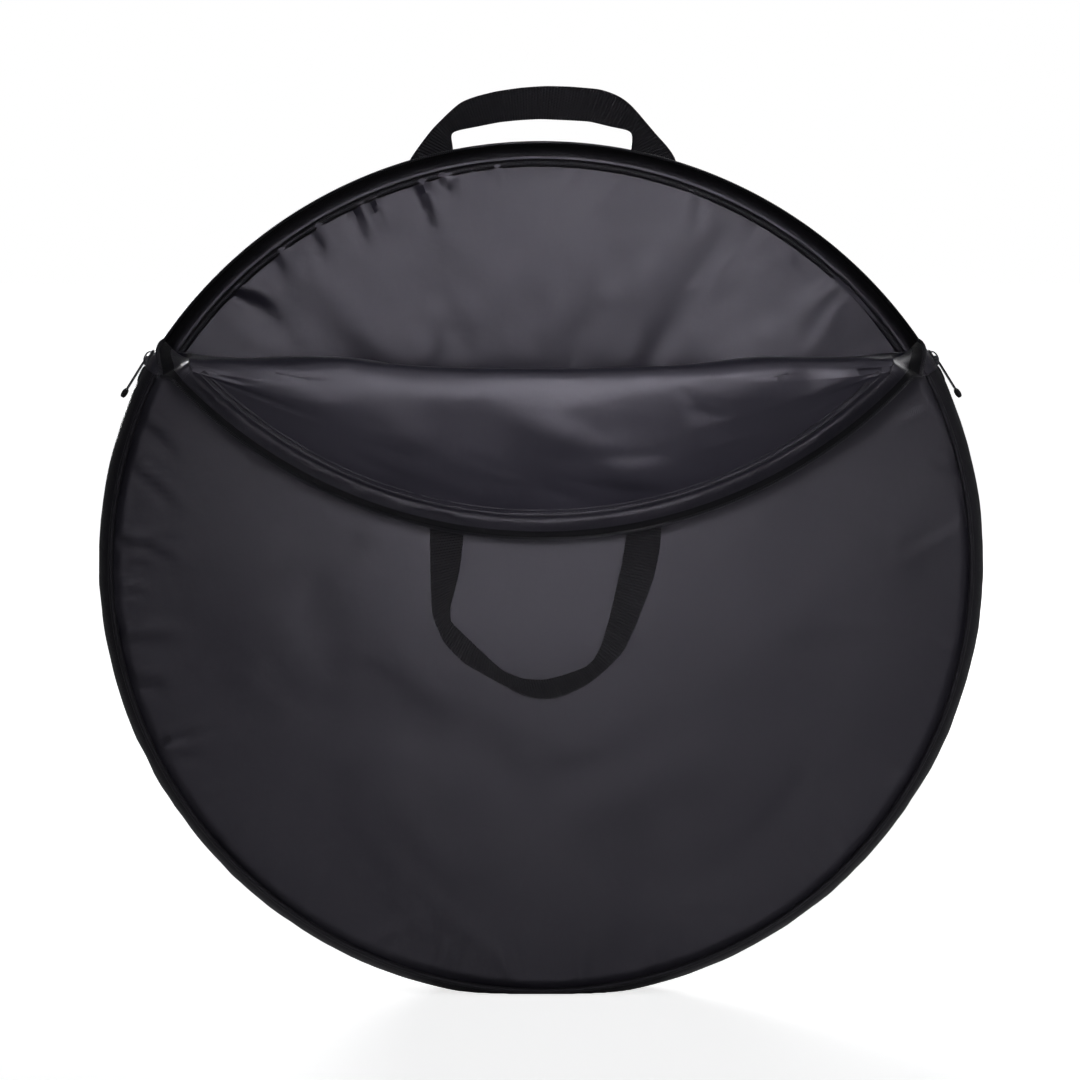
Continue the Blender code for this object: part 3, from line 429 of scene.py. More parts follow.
def makeMaterial(name, finish):
    # two tones mixed by a cloudy noise, dust over them, and a roughness that drifts between two values; cloth has a
    # weave over its crinkles, webbing has ribs with painted shade in their grooves, and moulded or cast surfaces have
    # a fine grain
    material = bpy.data.materials.new(name)
    material.use_nodes = True
    tree = material.node_tree
    shader = tree.nodes["Principled BSDF"].inputs
    metallic = finish.get("metallic", 0.0)
    for label, value in (("Metallic", metallic), ("Specular IOR Level", finish.get("specular", 0.5)),
                         ("Sheen Weight", finish.get("sheen", 0.0)), ("Sheen Roughness", 0.4),
                         ("Specular Tint", None if metallic else (0.90, 0.86, 1.0, 1))):
        plug(tree, shader[label], value)
    place = addNode(tree, "TexCoord")
    cloud = addNode(tree, "TexNoise", Vector=place["Object"], Scale=11.0, Detail=4.0, Roughness=0.55)[0]
    dark, light = ((*(value / 1000 for value in finish[tone]), 1) for tone in ("dark", "light"))
    colour = addNode(tree, "Mix", dict(data_type="RGBA"), Factor=cloud, A=dark, B=light)["Result"]
    dust = useGroup(tree, "dust", place["Object"], Amount=finish["dust"])["Mask"]
    colour = addNode(tree, "Mix", dict(data_type="RGBA"), Factor=dust, A=colour, B=(0.30, 0.29, 0.28, 1))["Result"]
    rough = addNode(tree, "MapRange", Value=cloud, To_Min=finish["rough"][0], To_Max=finish["rough"][1])
    if "thread" in finish:
        crinkle = useGroup(tree, "crinkle", place["Object"], Scale=finish["crinkleScale"])["Height"]
        weave = useGroup(tree, "weave", place["Object"], Thread=finish["thread"])["Height"]
        normal = bumpFrom(tree, weave, finish["weaveDepth"], bumpFrom(tree, crinkle, finish["crinkleDepth"]), 0.6)
    elif "rib" in finish:
        ribs = useGroup(tree, "rib", place["UV"], Rib=finish["rib"], Float=finish["float"])
        # painted shade: the colour is darkened towards near black in the grooves between the ribs
        colour = addNode(tree, "Mix", dict(data_type="RGBA", blend_type="MULTIPLY"), Factor=ribs["GrooveShade"], A=colour,
                         B=(0.03, 0.03, 0.03, 1))["Result"]
        normal = bumpFrom(tree, ribs["Height"], finish["ribDepth"])
    else:
        grain = addNode(tree, "TexNoise", Vector=place["Object"], Scale=finish["grain"], Detail=3.0)[0]
        normal = bumpFrom(tree, grain, finish["grainDepth"])
    for label, value in (("Base Color", colour), ("Roughness", rough[0]), ("Normal", normal)):
        plug(tree, shader[label], value)
    return material


# the dark and light tones are in thousandths
finishes = dict(
    bagCloth=dict(dark=(5.2, 4.7, 7.6), light=(10.5, 9.5, 14.6), rough=(0.32, 0.44), sheen=0.03, specular=0.56,
                  thread=0.00055, weaveDepth=0.00010, crinkleScale=7.0, crinkleDepth=0.0060, dust=0.006),
    liningCloth=dict(dark=(8.0, 7.1, 11.8), light=(16.0, 14.4, 23.2), rough=(0.32, 0.44), sheen=0.04, specular=0.62,
                     thread=0.00035, weaveDepth=0.00004, crinkleScale=6.0, crinkleDepth=0.0070, dust=0.004),
    bandCloth=dict(dark=(2.6, 2.5, 3.2), light=(6.0, 5.6, 7.4), rough=(0.44, 0.58), sheen=0.03, specular=0.34,
                   thread=0.00070, weaveDepth=0.00014, crinkleScale=42.0, crinkleDepth=0.0012, dust=0.006),
    # litHemCloth is the band fabric of bandCloth with painted light: lighter tones for the flap's hem, fold bands,
    # piping and binding, which face the lamps
    litHemCloth=dict(dark=(8.5, 7.8, 11.2), light=(16.5, 15.2, 21.0), rough=(0.36, 0.50), sheen=0.04, specular=0.60,
                  thread=0.00070, weaveDepth=0.00014, crinkleScale=55.0, crinkleDepth=0.0020, dust=0.006),
    tapeCloth=dict(dark=(1.2, 1.2, 1.5), light=(3.0, 3.0, 3.6), rough=(0.60, 0.78), sheen=0.04, specular=0.20,
                   thread=0.00080, weaveDepth=0.00018, crinkleScale=40.0, crinkleDepth=0.0003, dust=0.006),
    webbingWeave=dict(dark=(2.2, 2.2, 2.6), light=(17.0, 16.5, 18.5), rough=(0.40, 0.56), sheen=0.03, specular=0.56,
                      rib=0.0024, float=0.0014, ribDepth=0.0011, dust=0.006),
    coilNylon=dict(dark=(3.0, 3.0, 3.4), light=(7.0, 7.0, 7.8), rough=(0.24, 0.36), grain=2500.0, grainDepth=0.00002,
                   dust=0.01),
    sliderMetal=dict(dark=(20, 20, 23), light=(50, 50, 56), rough=(0.22, 0.38), metallic=1.0, grain=1400.0,
                     grainDepth=0.00003, dust=0.01),
    gripRubber=dict(dark=(5.0, 5.0, 5.0), light=(9.0, 9.0, 9.0), rough=(0.50, 0.64), grain=1800.0, grainDepth=0.00005,
                    dust=0.01),
    guardPlastic=dict(dark=(6.0, 6.0, 6.6), light=(11.0, 11.0, 11.6), rough=(0.34, 0.48), grain=700.0,
                      grainDepth=0.00008, dust=0.01),
    sewingThread=dict(dark=(12.0, 11.8, 14.0), light=(24.0, 23.6, 27.0), rough=(0.42, 0.56), grain=3000.0,
                      grainDepth=0.00006, dust=0.0),
)
look = {name: makeMaterial(name, finish) for name, finish in finishes.items()}
print("materials made")


def finishPiece(piece, body, slotName, *nodes, to=None, between=None):
    # the piece stands for its nodes, which are hidden, and rides on its body; given a second body, it only has its
    # transform baked in
    if nodes:
        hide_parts(*nodes)
    if to:
        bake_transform(piece)
    else:
        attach(piece, body)


def gatherLines(seed, count, startAngle, endAngle, lengths, widths, heights):
    # creases that start at the seam and run inwards, each a little aslant
    rng = np.random.default_rng(seed)
    lines = []
    for k in range(count):
        turn = startAngle + (endAngle - startAngle) * (k + rng.uniform(0.15, 0.85)) / count
        radius, length = float(seamRadius(turn)) - 0.004, rng.uniform(*lengths)
        lean = rng.uniform(-0.5, 0.5)
        x0, z0 = radius * math.cos(turn), centreZ + radius * math.sin(turn)
        x1, z1 = x0 - length * math.cos(turn + lean), z0 - length * math.sin(turn + lean)
        lines.append((x0, z0, x1, z1, rng.uniform(*widths), rng.uniform(*heights)))
    return lines


panelShape = dict(rings=84, puff=0.0030, fill=0.45, edgeCalm=0.010, hillCell=0.12, lift=0.0004)


def panelGrid(turns, edge, side, depth, ripple=None, rings=panelShape["rings"]):
    # rings from the middle of a face out to its edge, closer together towards the edge
    radius = edge[:, None] * np.sin(np.linspace(0, math.pi / 2, rings))
    x, z = radius * np.cos(turns)[:, None], centreZ + radius * np.sin(turns)[:, None]
    grid = faceAt(x, z, side, depth)
    if ripple:
        grid[..., 1] += side * ripple(x, z) * ease((edge[:, None] - radius) / panelShape["edgeCalm"])
    return grid


def panelCloth(name, turns, edge, side, ripple, node):  # the outer cloth of a face
    grids = [panelGrid(turns, edge, side, depth, ripple) for depth in (0, shell)]
    finishPiece(sheetPiece(name, *grids, look["bagCloth"], wrap=True), "bag", "bag_cloth", node)


def quiltPuff(x, z, seed):  # the padding's puff, filled between the guard and the seam
    radius, turn = np.hypot(x, z - centreZ), np.arctan2(z - centreZ, x)
    quilt = ease((seamRadius(turn) - radius) / 0.05) * ease((radius - guardRadius) / 0.03)
    return panelShape["puff"] * quilt * (0.7 + 0.5 * hills(x, z, 0.10, seed))


# Rear panel
rearPanel = dict(around=400, strapX=0.098, strapZ=0.617, calmX=0.026, calmZ=0.034, broad=0.0028, dents=0.0020,
                 leastDepth=0.0012, gathers=dict(seed=7, count=30, lengths=(0.03, 0.09), widths=(0.0030, 0.0065),
                                                 heights=(0.0008, 0.0022)),
                 drape=dict(spare=0.045, mass=0.12, stretch=10.0, bend=0.35, pressure=0.6, frames=26, cap=0.0065))
# pleats that run in from the rim, from the photograph: start, end, width and height, in millimetres
rearPleats = np.array([
    (-200, 676, -176, 628, 6.0, 3.4), (-161, 690, -138, 636, 5.8, 4.0), (-150, 694, -121, 645, 4.5, 2.6),
    (-108, 706, -80, 652, 6.2, 3.6), (-90, 709, -60, 680, 4.5, 2.4), (-38, 713, -31, 690, 4.0, 2.0),
    (30, 712, 8, 684, 5.0, 1.4), (-268, 612, -214, 590, 8.5, 4.2), (-235, 652, -205, 612, 7.0, 2.6),
    (205, 676, 180, 640, 6.0, 1.6), (262, 622, 215, 590, 7.0, 2.2), (130, 703, 118, 668, 5.5, 1.0)]) / 1000
fullTurns = np.linspace(0, 2 * math.pi, rearPanel["around"] + 1)
rearGathers = gatherLines(startAngle=0, endAngle=2 * math.pi, **rearPanel["gathers"])
rearEdge = seamRadius(fullTurns) - gap


def rearRipple(x, z):  # outer cloth: low hills and the gathers, calm under the sewn strap ends
    calm = 1 - ease(1.6 - np.hypot((np.abs(x) - rearPanel["strapX"]) / rearPanel["calmX"],
                                   (z - rearPanel["strapZ"]) / rearPanel["calmZ"]))
    broad = rearPanel["broad"] * (hills(x - z * 0.3, z, panelShape["hillCell"], 3, 2) * 0.45 + 0.5)
    return (panelShape["lift"] + broad + np.maximum(creases(x, z, rearGathers) + 0.0006, 0)) * calm


def rearPuff(x, z):  # lining: the quilt with dents, half of the gathers and the pleats
    beyond = np.hypot(x, z - centreZ) - guardRadius
    ripple = (creases(x, z, rearGathers) * 0.5 + creases(x, z, rearPleats)) * ease(beyond / 0.02)
    dents = rearPanel["dents"] * hills(x + z * 0.4, z, 0.085, 13, 2) * ease(beyond / 0.03)
    return -(quiltPuff(x, z, 11) + dents + ripple)


def rearDrape(turns, edge, rings=44, innerShare=0.13, heldRadius=0.064, looseWidth=0.13):
    # simulates the lining on a coarser grid, held at the guard and the seam, and gives its moves on the panel's grid
    grid = panelGrid(turns, edge, 1, wallDepth, rearPuff, rings)
    share = np.sin(np.linspace(0, math.pi / 2, rings))
    radius = edge[:, None] * share
    inner = int(np.argmax(share > innerShare))
    held = ((radius < heldRadius) | (share > 0.999)).astype(float)
    loose = ease(1 - (edge[:, None] - radius) / looseWidth)
    move = draped("rearDrape", grid[:, inner:], np.array([0, -1, 0]), held[:, inner:], loose[:, inner:],
                  rearPanel["drape"], wrap=True)
    move = np.concatenate([np.zeros((len(grid), inner, 3)), move], axis=1)
    return refined(move, len(fullTurns), panelShape["rings"])


panelCloth("rearCloth", fullTurns, rearEdge, 1, rearRipple, "rear_shell")
rearCore = panelGrid(fullTurns, rearEdge, 1, paddingDepth)
rearInner = panelGrid(fullTurns, rearEdge, 1, wallDepth, rearPuff) + rearDrape(fullTurns[::2], rearEdge[::2])
rearInner[-1] = rearInner[0]
rearInner[..., 1] = np.minimum(rearInner[..., 1], rearCore[..., 1] - rearPanel["leastDepth"])
rearPad = sheetPiece("rearPad", rearCore, rearInner, look["liningCloth"], wrap=True)
finishPiece(rearPad, "bag", "lining_cloth", "rear_padding", "rear_lining")
print("rear panel made")


# Standing front panel, with two sets of gathers: all round, and more at the left
frontPanel = dict(lowSteps=281, topSteps=121, broad=0.0026, gatherHeight=1.1, gathers=(
    dict(seed=31, count=26, endAngle=2 * math.pi + zipEndAngle, lengths=(0.02, 0.07), widths=(0.003, 0.007),
         heights=(0.0008, 0.0022)),
    dict(seed=37, count=7, endAngle=math.pi + 0.5, lengths=(0.03, 0.08), widths=(0.004, 0.008),
         heights=(0.0015, 0.0030))))


def frontEdgeRadius(turn):  # a straight edge that rises to the zip's ends with a high power of its place across
    endHeight = float(seamRadius(zipEndAngle)) * math.sin(zipEndAngle)
    share = np.abs(turn - math.pi / 2) / (math.pi / 2 - zipEndAngle)
    middle = edgeHeight - centreZ
    return (middle + (endHeight - middle) * share ** bagForm["edgePower"]) / np.sin(turn)


def frontRipple(x, z):  # outer cloth: low hills and the gathers
    broad = frontPanel["broad"] * (hills(x + z * 0.3, z, panelShape["hillCell"], 41, 2) * 0.45 + 0.5)
    gathers = np.maximum(creases(x, z, frontGathers) + 0.0008, 0)
    return panelShape["lift"] + broad + gathers * frontPanel["gatherHeight"]


def frontPuff(x, z):  # lining: the quilt, which thins out below the standing edge
    return -quiltPuff(x, z, 51) * ease((edgeHeight - z) / 0.04)


lowTurns = np.linspace(math.pi - zipEndAngle, 2 * math.pi + zipEndAngle, frontPanel["lowSteps"])
topTurns = np.linspace(2 * math.pi + zipEndAngle, 3 * math.pi - zipEndAngle, frontPanel["topSteps"])[1:]
frontTurns = np.concatenate([lowTurns, topTurns])
frontEdge = np.concatenate([seamRadius(lowTurns), frontEdgeRadius(topTurns - 2 * math.pi)]) - gap
frontGathers = sum((gatherLines(startAngle=math.pi - zipEndAngle, **row) for row in frontPanel["gathers"]), [])
panelCloth("frontCloth", frontTurns, frontEdge, -1, frontRipple, "front_shell")
frontPad = sheetPiece("frontPad", panelGrid(frontTurns, frontEdge, -1, paddingDepth),
                      panelGrid(frontTurns, frontEdge, -1, wallDepth, frontPuff), look["liningCloth"], wrap=True)
finishPiece(frontPad, "bag", "lining_cloth", "front_padding", "front_lining")
print("standing front made")


# Flap with the soft roll over which it folds
flapShape = dict(across=280, rollRows=44, flapRows=70, puff=0.0045, ripple=0.0030, pull=0.45, sag=0.019, fill=0.5,
                 endTrim=0.004, rootTrim=0.0005, rootOverlap=0.0001, leastDepth=0.002,
                 drape=dict(spare=0.022, mass=0.12, stretch=10.0, bend=0.30, pressure=1.2, frames=26, cap=0.0085))
blendLine = ((0, -0.047, 0.517), (0, -0.0875, 0.5049))


def seamBridge(sign, steps):
    # the rim strip's seam over the fold, and the angles at which it lay on the rim while the bag was shut
    turns = zipAngles(sign * runEnd, sign * (flapTurn + flapShape["rootOverlap"] / zipRadius), steps + 1)
    seam = rimGrid(turns, [math.pi], 0)
    shares = np.linspace(0, 1, steps + 1)
    line = bezier(seam[0], seam[1] - seam[0], opened(seam[-1]), turned(seam[-1] - seam[-2]), shares,
                  bagForm["spineStart"], bagForm["spineEnd"])
    # the seam draws in and sinks where the strip turns over
    pull = (ease(shares / 0.30) * ease((1 - shares) / 0.45))[:, None]
    line[..., 0] -= sign * bagForm["seamTuck"] * pull
    line[..., 2] -= bagForm["seamDip"] * pull
    return turns, seam, line


def seamLine(sign, shares):
    # from the standing edge over the fold to the flap's root, a little inside the strip
    lowTurn = zipAngles(sign * zipStart, sign * runEnd, 12)[:-1]
    path = np.concatenate([rimGrid(lowTurn, [math.pi], 0)[:, 0], seamBridge(sign, 60)[2][:, 0]])
    length = runLength(path)
    line = pointsAt(path, length, shares * length[-1])
    return line + np.array([-sign * 0.0008, wallDepth / 2, 0]) * (1 - shares)[:, None]


def rootLine(x):  # height of the flap's root while the bag is shut, a parabola
    return rootHeight + (rootEndHeight - rootHeight) * (x / rootHalfWidth) ** 2


def edgeAndWay(x, z):  # the wall's middle at an edge, and its direction upwards
    edge = faceAt(x, z, -1, wallDepth / 2)
    return edge, (faceAt(x, z + 1e-4, -1, wallDepth / 2) - edge) / 1e-4


def rollMiddle(c, shares):
    # cubic roll from the standing edge to the flap's root, for places c from -1 to 1 across
    turn = math.pi / 2 - c * (math.pi / 2 - zipEndAngle)
    radius = frontEdgeRadius(turn)
    trim = 1 - flapShape["endTrim"] / zipEndX
    start, startWay = edgeAndWay(radius * np.cos(turn) * trim, centreZ + radius * np.sin(turn))
    rootX = c * rootHalfWidth * trim
    end, endWay = edgeAndWay(rootX, rootLine(rootX))
    middle = bezier(start, startWay, opened(end), turned(endWay), shares, bagForm["rollReach"], bagForm["rollReach"])
    # the roll sags under its own weight between its ends, most a little right of the middle
    sag = flapShape["sag"] * ease((0.97 - np.abs(c)) / 0.62) * (1 + 0.2 * c - 0.12 * bell(c, 0.25))
    middle[..., 2] -= sag[None, :] * (ease(shares / 0.42) * ease((1 - shares) / 0.42))[:, None]
    for k, sign in ((0, -1), (-1, 1)):  # near either end the roll is pulled over to the seam that it is sewn to
        pull = ease((np.abs(c) - 1 + flapShape["pull"]) / flapShape["pull"]) * (np.sign(c) == sign)
        middle = middle + (seamLine(sign, shares) - middle[:, k])[:, None] * pull[None, :, None]
    return middle


def flapMiddle(c, shares):  # the domed face between the root and the hem, turned down
    x = c * rootHalfWidth * (1 - flapShape["rootTrim"] / rootHalfWidth)
    low, high = rootLine(x), zipCentreZ + np.sqrt((upperSeam - gap) ** 2 - x ** 2)
    z = low + np.maximum(high - low, 0) * shares[:, None]
    return opened(faceAt(x, z, -1, wallDepth / 2))


across, rollShares, flapShares = (
    np.linspace(start, 1, flapShape[name] + 1) for start, name in ((-1, "across"), (0, "rollRows"), (0, "flapRows")))
middle = np.concatenate([rollMiddle(across, rollShares), flapMiddle(across, flapShares)[1:]])
normals = unit(np.cross(np.gradient(middle, axis=0), np.gradient(middle, axis=1)))
if np.mean(normals[-1, :, 1]) > 0:
    normals = -normals
run = runLength(middle)
toHem = run[-1:] - run
edgeFall = ease(toHem / 0.040) * ease((np.abs(middle[:, -1:, 0]) - np.abs(middle[..., 0])) / 0.03 + 0.05)
onRoll = np.minimum(np.arange(len(middle)) / flapShape["rollRows"], 1)[:, None]
calm = 0.22 + 0.78 * np.maximum(ease((onRoll - 0.80) / 0.20), ease((np.abs(across) - 0.80) / 0.2) * 0.5)
puff = flapShape["puff"] * edgeFall * calm * (0.62 + 0.45 * hills(middle[..., 0], toHem, 0.12, 61, 2))
ripples = hills(middle[..., 0] + toHem * 0.6, toHem, 0.075, 67, 2) * ease(toHem / 0.03) * calm * flapShape["ripple"]
liningSide = middle + normals * (wallDepth / 2 + np.maximum(puff + ripples, -0.002) * ease(run / 0.012))[..., None]
coarse = liningSide[::2, ::2]
heldEdge = np.ones(coarse.shape[:2])
heldEdge[1:-1, 1:-1] = 0
flapMove = draped("flapDrape", coarse, normals[::2, ::2], heldEdge, np.ones(coarse.shape[:2]), flapShape["drape"])
flapMove = refined(flapMove, *liningSide.shape[:2]) * calm[..., None]
coreSide, clothTop, clothBottom = (middle - normals * (wallDepth / 2 - depth) for depth in (paddingDepth, shell, 0))
depth = np.sum((liningSide + flapMove - coreSide) * normals, axis=-1, keepdims=True)
liningSide = liningSide + flapMove + normals * np.maximum(flapShape["leastDepth"] - depth, 0)
flapPad = sheetPiece("flapPad", liningSide, coreSide, look["liningCloth"])
finishPiece(flapPad, "bag", "lining_cloth", "front_fold", "flap_padding", "flap_lining", to="flap", between=blendLine)
flapCloth = sheetPiece("flapCloth", clothTop, clothBottom, look["bagCloth"])
finishPiece(flapCloth, "bag", "bag_cloth", "flap_shell", to="flap", between=blendLine)
print("flap made")


# Rim: gusset, zip bands, tapes, coils, piping and binding
rimShape = dict(bandSteps=10, tapeSteps=6, tapeInner=0.0042, tapeOuter=0.014, tapeThickness=0.0007, bandEdge=0.006,
                coilSpacing=0.0023, coilDepth=0.00145, coilRadius=0.0016, coilWire=0.00042, coilPitch=0.0016,
                coilSteps=8, coilFlat=0.85, wrinkleCell=0.022, floorCalm=0.004)


def rimPiece(name, turns, rounds, depth, thickness, material, wrinkle=0.0, seed=0, move=None):
    # a strip round the rim, with small wrinkles that are highest along its middle and none on the floor
    grids = [rimGrid(turns, rounds, level) for level in (depth, depth + thickness)]
    if wrinkle:
        cell = rimShape["wrinkleCell"]
        girth, roundLength = np.asarray(turns)[:, None] * bagRadius, rounds[None, :] * cell
        bend = np.sin(np.linspace(0, math.pi, len(rounds))) ** 0.5
        swell = wrinkle * (hills(girth, roundLength, cell, seed) * 0.5 + 0.5) * bend
        swell = swell * ease((grids[0][..., 2] - rimShape["floorCalm"]) / 0.02)
        out = unit(grids[0] - grids[1])
        grids = [grid + out * swell[..., None] for grid in grids]
    return sheetPiece(name, *([move(grid) for grid in grids] if move else grids), look[material])


def coilPiece(name, spine, outward):
    # a helix of nylon wire about the spine, flattened a little
    length = runLength(spine)
    place = np.linspace(0, length[-1], int(length[-1] / rimShape["coilPitch"] * rimShape["coilSteps"]))
    path, out = pointsAt(spine, length, place), unit(pointsAt(outward, length, place))
    ahead = unit(np.gradient(path, axis=0))
    out = unit(out - ahead * np.sum(out * ahead, axis=-1, keepdims=True))
    turn = (2 * math.pi * place / rimShape["coilPitch"])[:, None]
    outPart, sidePart = np.cos(turn) * out, np.sin(turn) * np.cross(ahead, out)
    wire = path + (rimShape["coilRadius"] - rimShape["coilWire"]) * (outPart * rimShape["coilFlat"] + sidePart)
    return loftPiece(name, tubeRings(wire, outPart + sidePart, rimShape["coilWire"], 5), look["coilNylon"])


def zipLine(start, end, across, depth, count):  # an arc of the zip's circle, and its directions outwards
    turns = np.linspace(start, end, count)
    out = np.stack([np.sin(turns), 0 * turns, np.cos(turns)], axis=-1)
    return out * (zipRadius - depth) + np.array([0, across, zipCentreZ]), out


def bandRounds(seam, side):  # the zip band's places round the rim, from its seam to its free edge
    return np.linspace(seam, rimRound(side * rimShape["bandEdge"]), rimShape["bandSteps"])


def tapeRounds(side):  # the same for the tape
    outer, inner = (rimRound(side * rimShape[edge], paddingDepth) for edge in ("tapeOuter", "tapeInner"))
    return np.linspace(outer, inner, rimShape["tapeSteps"])


gusset = rimPiece("gussetCloth", lowTurns, np.linspace(0, math.pi, 25), 0, shell, "bandCloth", 0.0008, 71)
finishPiece(gusset, "bag", "band_cloth", "gusset_rear", "gusset_tread", "gusset_front")
gusset = rimPiece("gussetLining", lowTurns, np.linspace(0, math.pi, 17), paddingDepth, bagForm["lining"],
                  "liningCloth")
finishPiece(gusset, "bag", "lining_cloth", "gusset_lining")

zipHalves = dict(
    rear=dict(body="bag", ends=(zipStart, -zipStart), steps=321, coilSteps=400, seam=0, side=1, cloth="bandCloth",
              wrinkle=0.0006, seed=81, move=None),
    # the flap's band uses the band fabric with painted light, lighter than the rear band
    flap=dict(body="flap", ends=(-flapTurn, flapTurn), steps=241, coilSteps=300, seam=math.pi, side=-1,
              cloth="litHemCloth", wrinkle=0.0011, seed=91, move=opened))
for name, half in zipHalves.items():
    turns, side, move = zipAngles(*half["ends"], half["steps"]), half["side"], half["move"]
    band = rimPiece(name + "ZipBand", turns, bandRounds(half["seam"], side), 0, shell, half["cloth"], half["wrinkle"],
                    half["seed"], move)
    finishPiece(band, half["body"], "band_cloth", name + "_zip_band")
    tape = rimPiece(name + "ZipTape", turns, tapeRounds(side), paddingDepth, rimShape["tapeThickness"], "tapeCloth",
                    move=move)
    finishPiece(tape, half["body"], "zip_tape", name + "_zip_tape")
    spine, outward = zipLine(*half["ends"], side * rimShape["coilSpacing"], rimShape["coilDepth"], half["coilSteps"])
    if move:
        spine, outward = move(spine), turned(outward)
    finishPiece(coilPiece(name + "Coil", spine, outward), half["body"], "zip_coil", name + "_zip_coil")


def sectionReach(rounds):  # length of the strip's section from the front seam to each place round it
    arcs = math.pi + (np.asarray(rounds) - math.pi) * np.linspace(0, 1, 25)[:, None]
    return runLength(np.stack([rimInset * np.sin(arcs), halfDepth * np.cos(arcs)], axis=-1))[-1]


def foldRows(sign, rounds, depth, runSteps=10, bridgeSteps=90):
    # beside the parked slider the strip lies on the rim; beyond, it rides along the seam's path, turns and lies flat
    runTurns = zipAngles(sign * zipStart, sign * runEnd, runSteps)
    turns, seam, line = seamBridge(sign, bridgeSteps)
    shares = np.linspace(0, 1, bridgeSteps + 1)
    closed = rimGrid(turns, rounds, 0)
    inward = rimGrid(turns, rounds, 1) - closed
    outward = polar(turns, 1, 0) - polar(turns, 0, 0)
    flatness = (ease(shares / 0.45) * ease((1 - shares) / 0.35))[:, None, None]
    reach = outward[:, None] * sectionReach(rounds)[None, :, None]
    across = (closed - seam) * (1 - flatness) + reach * flatness
    level = unit(inward * (1 - flatness) + np.array([0, 1, 0]) * flatness) * depth
    bridge = line + turned(across + level, bagForm["foldTurn"] * ease(shares)[:, None])
    return np.concatenate([rimGrid(runTurns[:-1], rounds, depth), bridge])


sides = (("left", -1), ("right", 1))
sideBlend = dict(to="flap", between=((0, -0.030, 0.55), (0, -0.087, 0.55)))
tapeDepths = (paddingDepth, paddingDepth + rimShape["tapeThickness"])
for sideName, sign in sides:
    for part, rounds, depths, cloth, slotName in (
            ("Band", bandRounds(math.pi, -1), (0, shell), "litHemCloth", "band_cloth"),
            ("Tape", tapeRounds(-1), tapeDepths, "tapeCloth", "zip_tape")):
        strip = sheetPiece(sideName + "Fold" + part, *(foldRows(sign, rounds, depth) for depth in depths), look[cloth])
        finishPiece(strip, "bag", slotName, sideName + "_fold_" + part.lower(), **sideBlend)
    coilRound = rimRound(-rimShape["coilSpacing"], rimShape["coilDepth"])
    line, top = (foldRows(sign, [coilRound], depth)[:, 0] for depth in (rimShape["coilDepth"], 0))
    coil = coilPiece(sideName + "FoldCoil", line, top - line)
    finishPiece(coil, "bag", "zip_coil", sideName + "_fold_coil", **sideBlend)

trimShape = dict(pipingSides=12, bindingWidth=0.007, bindingThickness=0.0016, bindingSetback=0.002, ridge=0.09)


def pipingPiece(name, turns, across, closed=False, move=None, material="bandCloth"):
    # a cord along the seam, a little uneven in its thickness
    path = polar(turns, seamRadius(turns), across)
    outward = polar(turns, seamRadius(turns) + 1, across) - path
    if move:
        path, outward = move(path), turned(outward)
    length = np.arange(len(path)) * 0.004
    radius = pipingRadius * (1 + 0.05 * hills(length, length * 0, 0.012, 101))
    if closed:
        radius[-1] = radius[0]
    rings = tubeRings(path, outward, radius, trimShape["pipingSides"])
    if closed:
        out = unit(outward[:1])
        beside = np.cross(unit(path[1] - path[-2]), out)
        rings[0] = rings[-1] = ringsRound(path[:1], out, beside, radius[0], trimShape["pipingSides"])[0]
    return loftPiece(name, rings, look[material], closed)


flapTurns = zipAngles(-flapTurn, flapTurn, 241)
piping = pipingPiece("rearPiping", np.linspace(0, 2 * math.pi, 521), pipingY, True)
finishPiece(piping, "bag", "piping_cord", "rear_piping")
piping = pipingPiece("frontPiping", np.linspace(lowTurns[0], lowTurns[-1], 361), -pipingY)
finishPiece(piping, "bag", "piping_cord", "front_piping")
piping = pipingPiece("flapPiping", flapTurns, -pipingY, move=opened, material="litHemCloth")
finishPiece(piping, "flap", "piping_cord", "flap_piping")


def bindingPiece(name, turns, side, wrap=False, move=None, material="bandCloth"):
    # folded tape: a low strip with a rounded ridge along either edge
    outerEdge = seamRadius(turns) - gap - trimShape["bindingSetback"]
    share = np.linspace(0, 1, 25)
    radius = outerEdge[:, None] - trimShape["bindingWidth"] * (1 - share)
    turn = np.broadcast_to(np.asarray(turns)[:, None], radius.shape)
    x, z = radius * np.cos(turn), centreZ + radius * np.sin(turn)
    ridge = 0.40 + 0.75 * bell(share - 0.16, trimShape["ridge"]) + 0.75 * bell(share - 0.84, trimShape["ridge"])
    uneven = 1 + 0.34 * hills(turn * bagRadius, share * 0.01, 0.014, 111)
    rise = trimShape["bindingThickness"] * ridge * uneven
    if not wrap:  # an open binding thins out at both ends
        steps = np.arange(len(turns))
        rise = rise * (0.15 + 0.85 * ease(np.minimum(steps, steps[::-1]) / 8))[:, None]
    under = faceAt(x, z, side, wallDepth + gap)
    top = under.copy()
    top[..., 1] -= side * rise
    if move:
        under, top = move(under), move(top)
    return sheetPiece(name, top, under, look[material], wrap)


finishPiece(bindingPiece("rearBinding", fullTurns, 1, True), "bag", "band_cloth", "rear_binding")
finishPiece(bindingPiece("frontBinding", lowTurns, -1), "bag", "band_cloth", "front_binding")
innerTurns = zipAngles(-flapTurn * 0.985, flapTurn * 0.985, 241)
binding = bindingPiece("flapBinding", innerTurns, -1, move=opened, material="litHemCloth")
finishPiece(binding, "flap", "band_cloth", "flap_binding")
print("rim made")


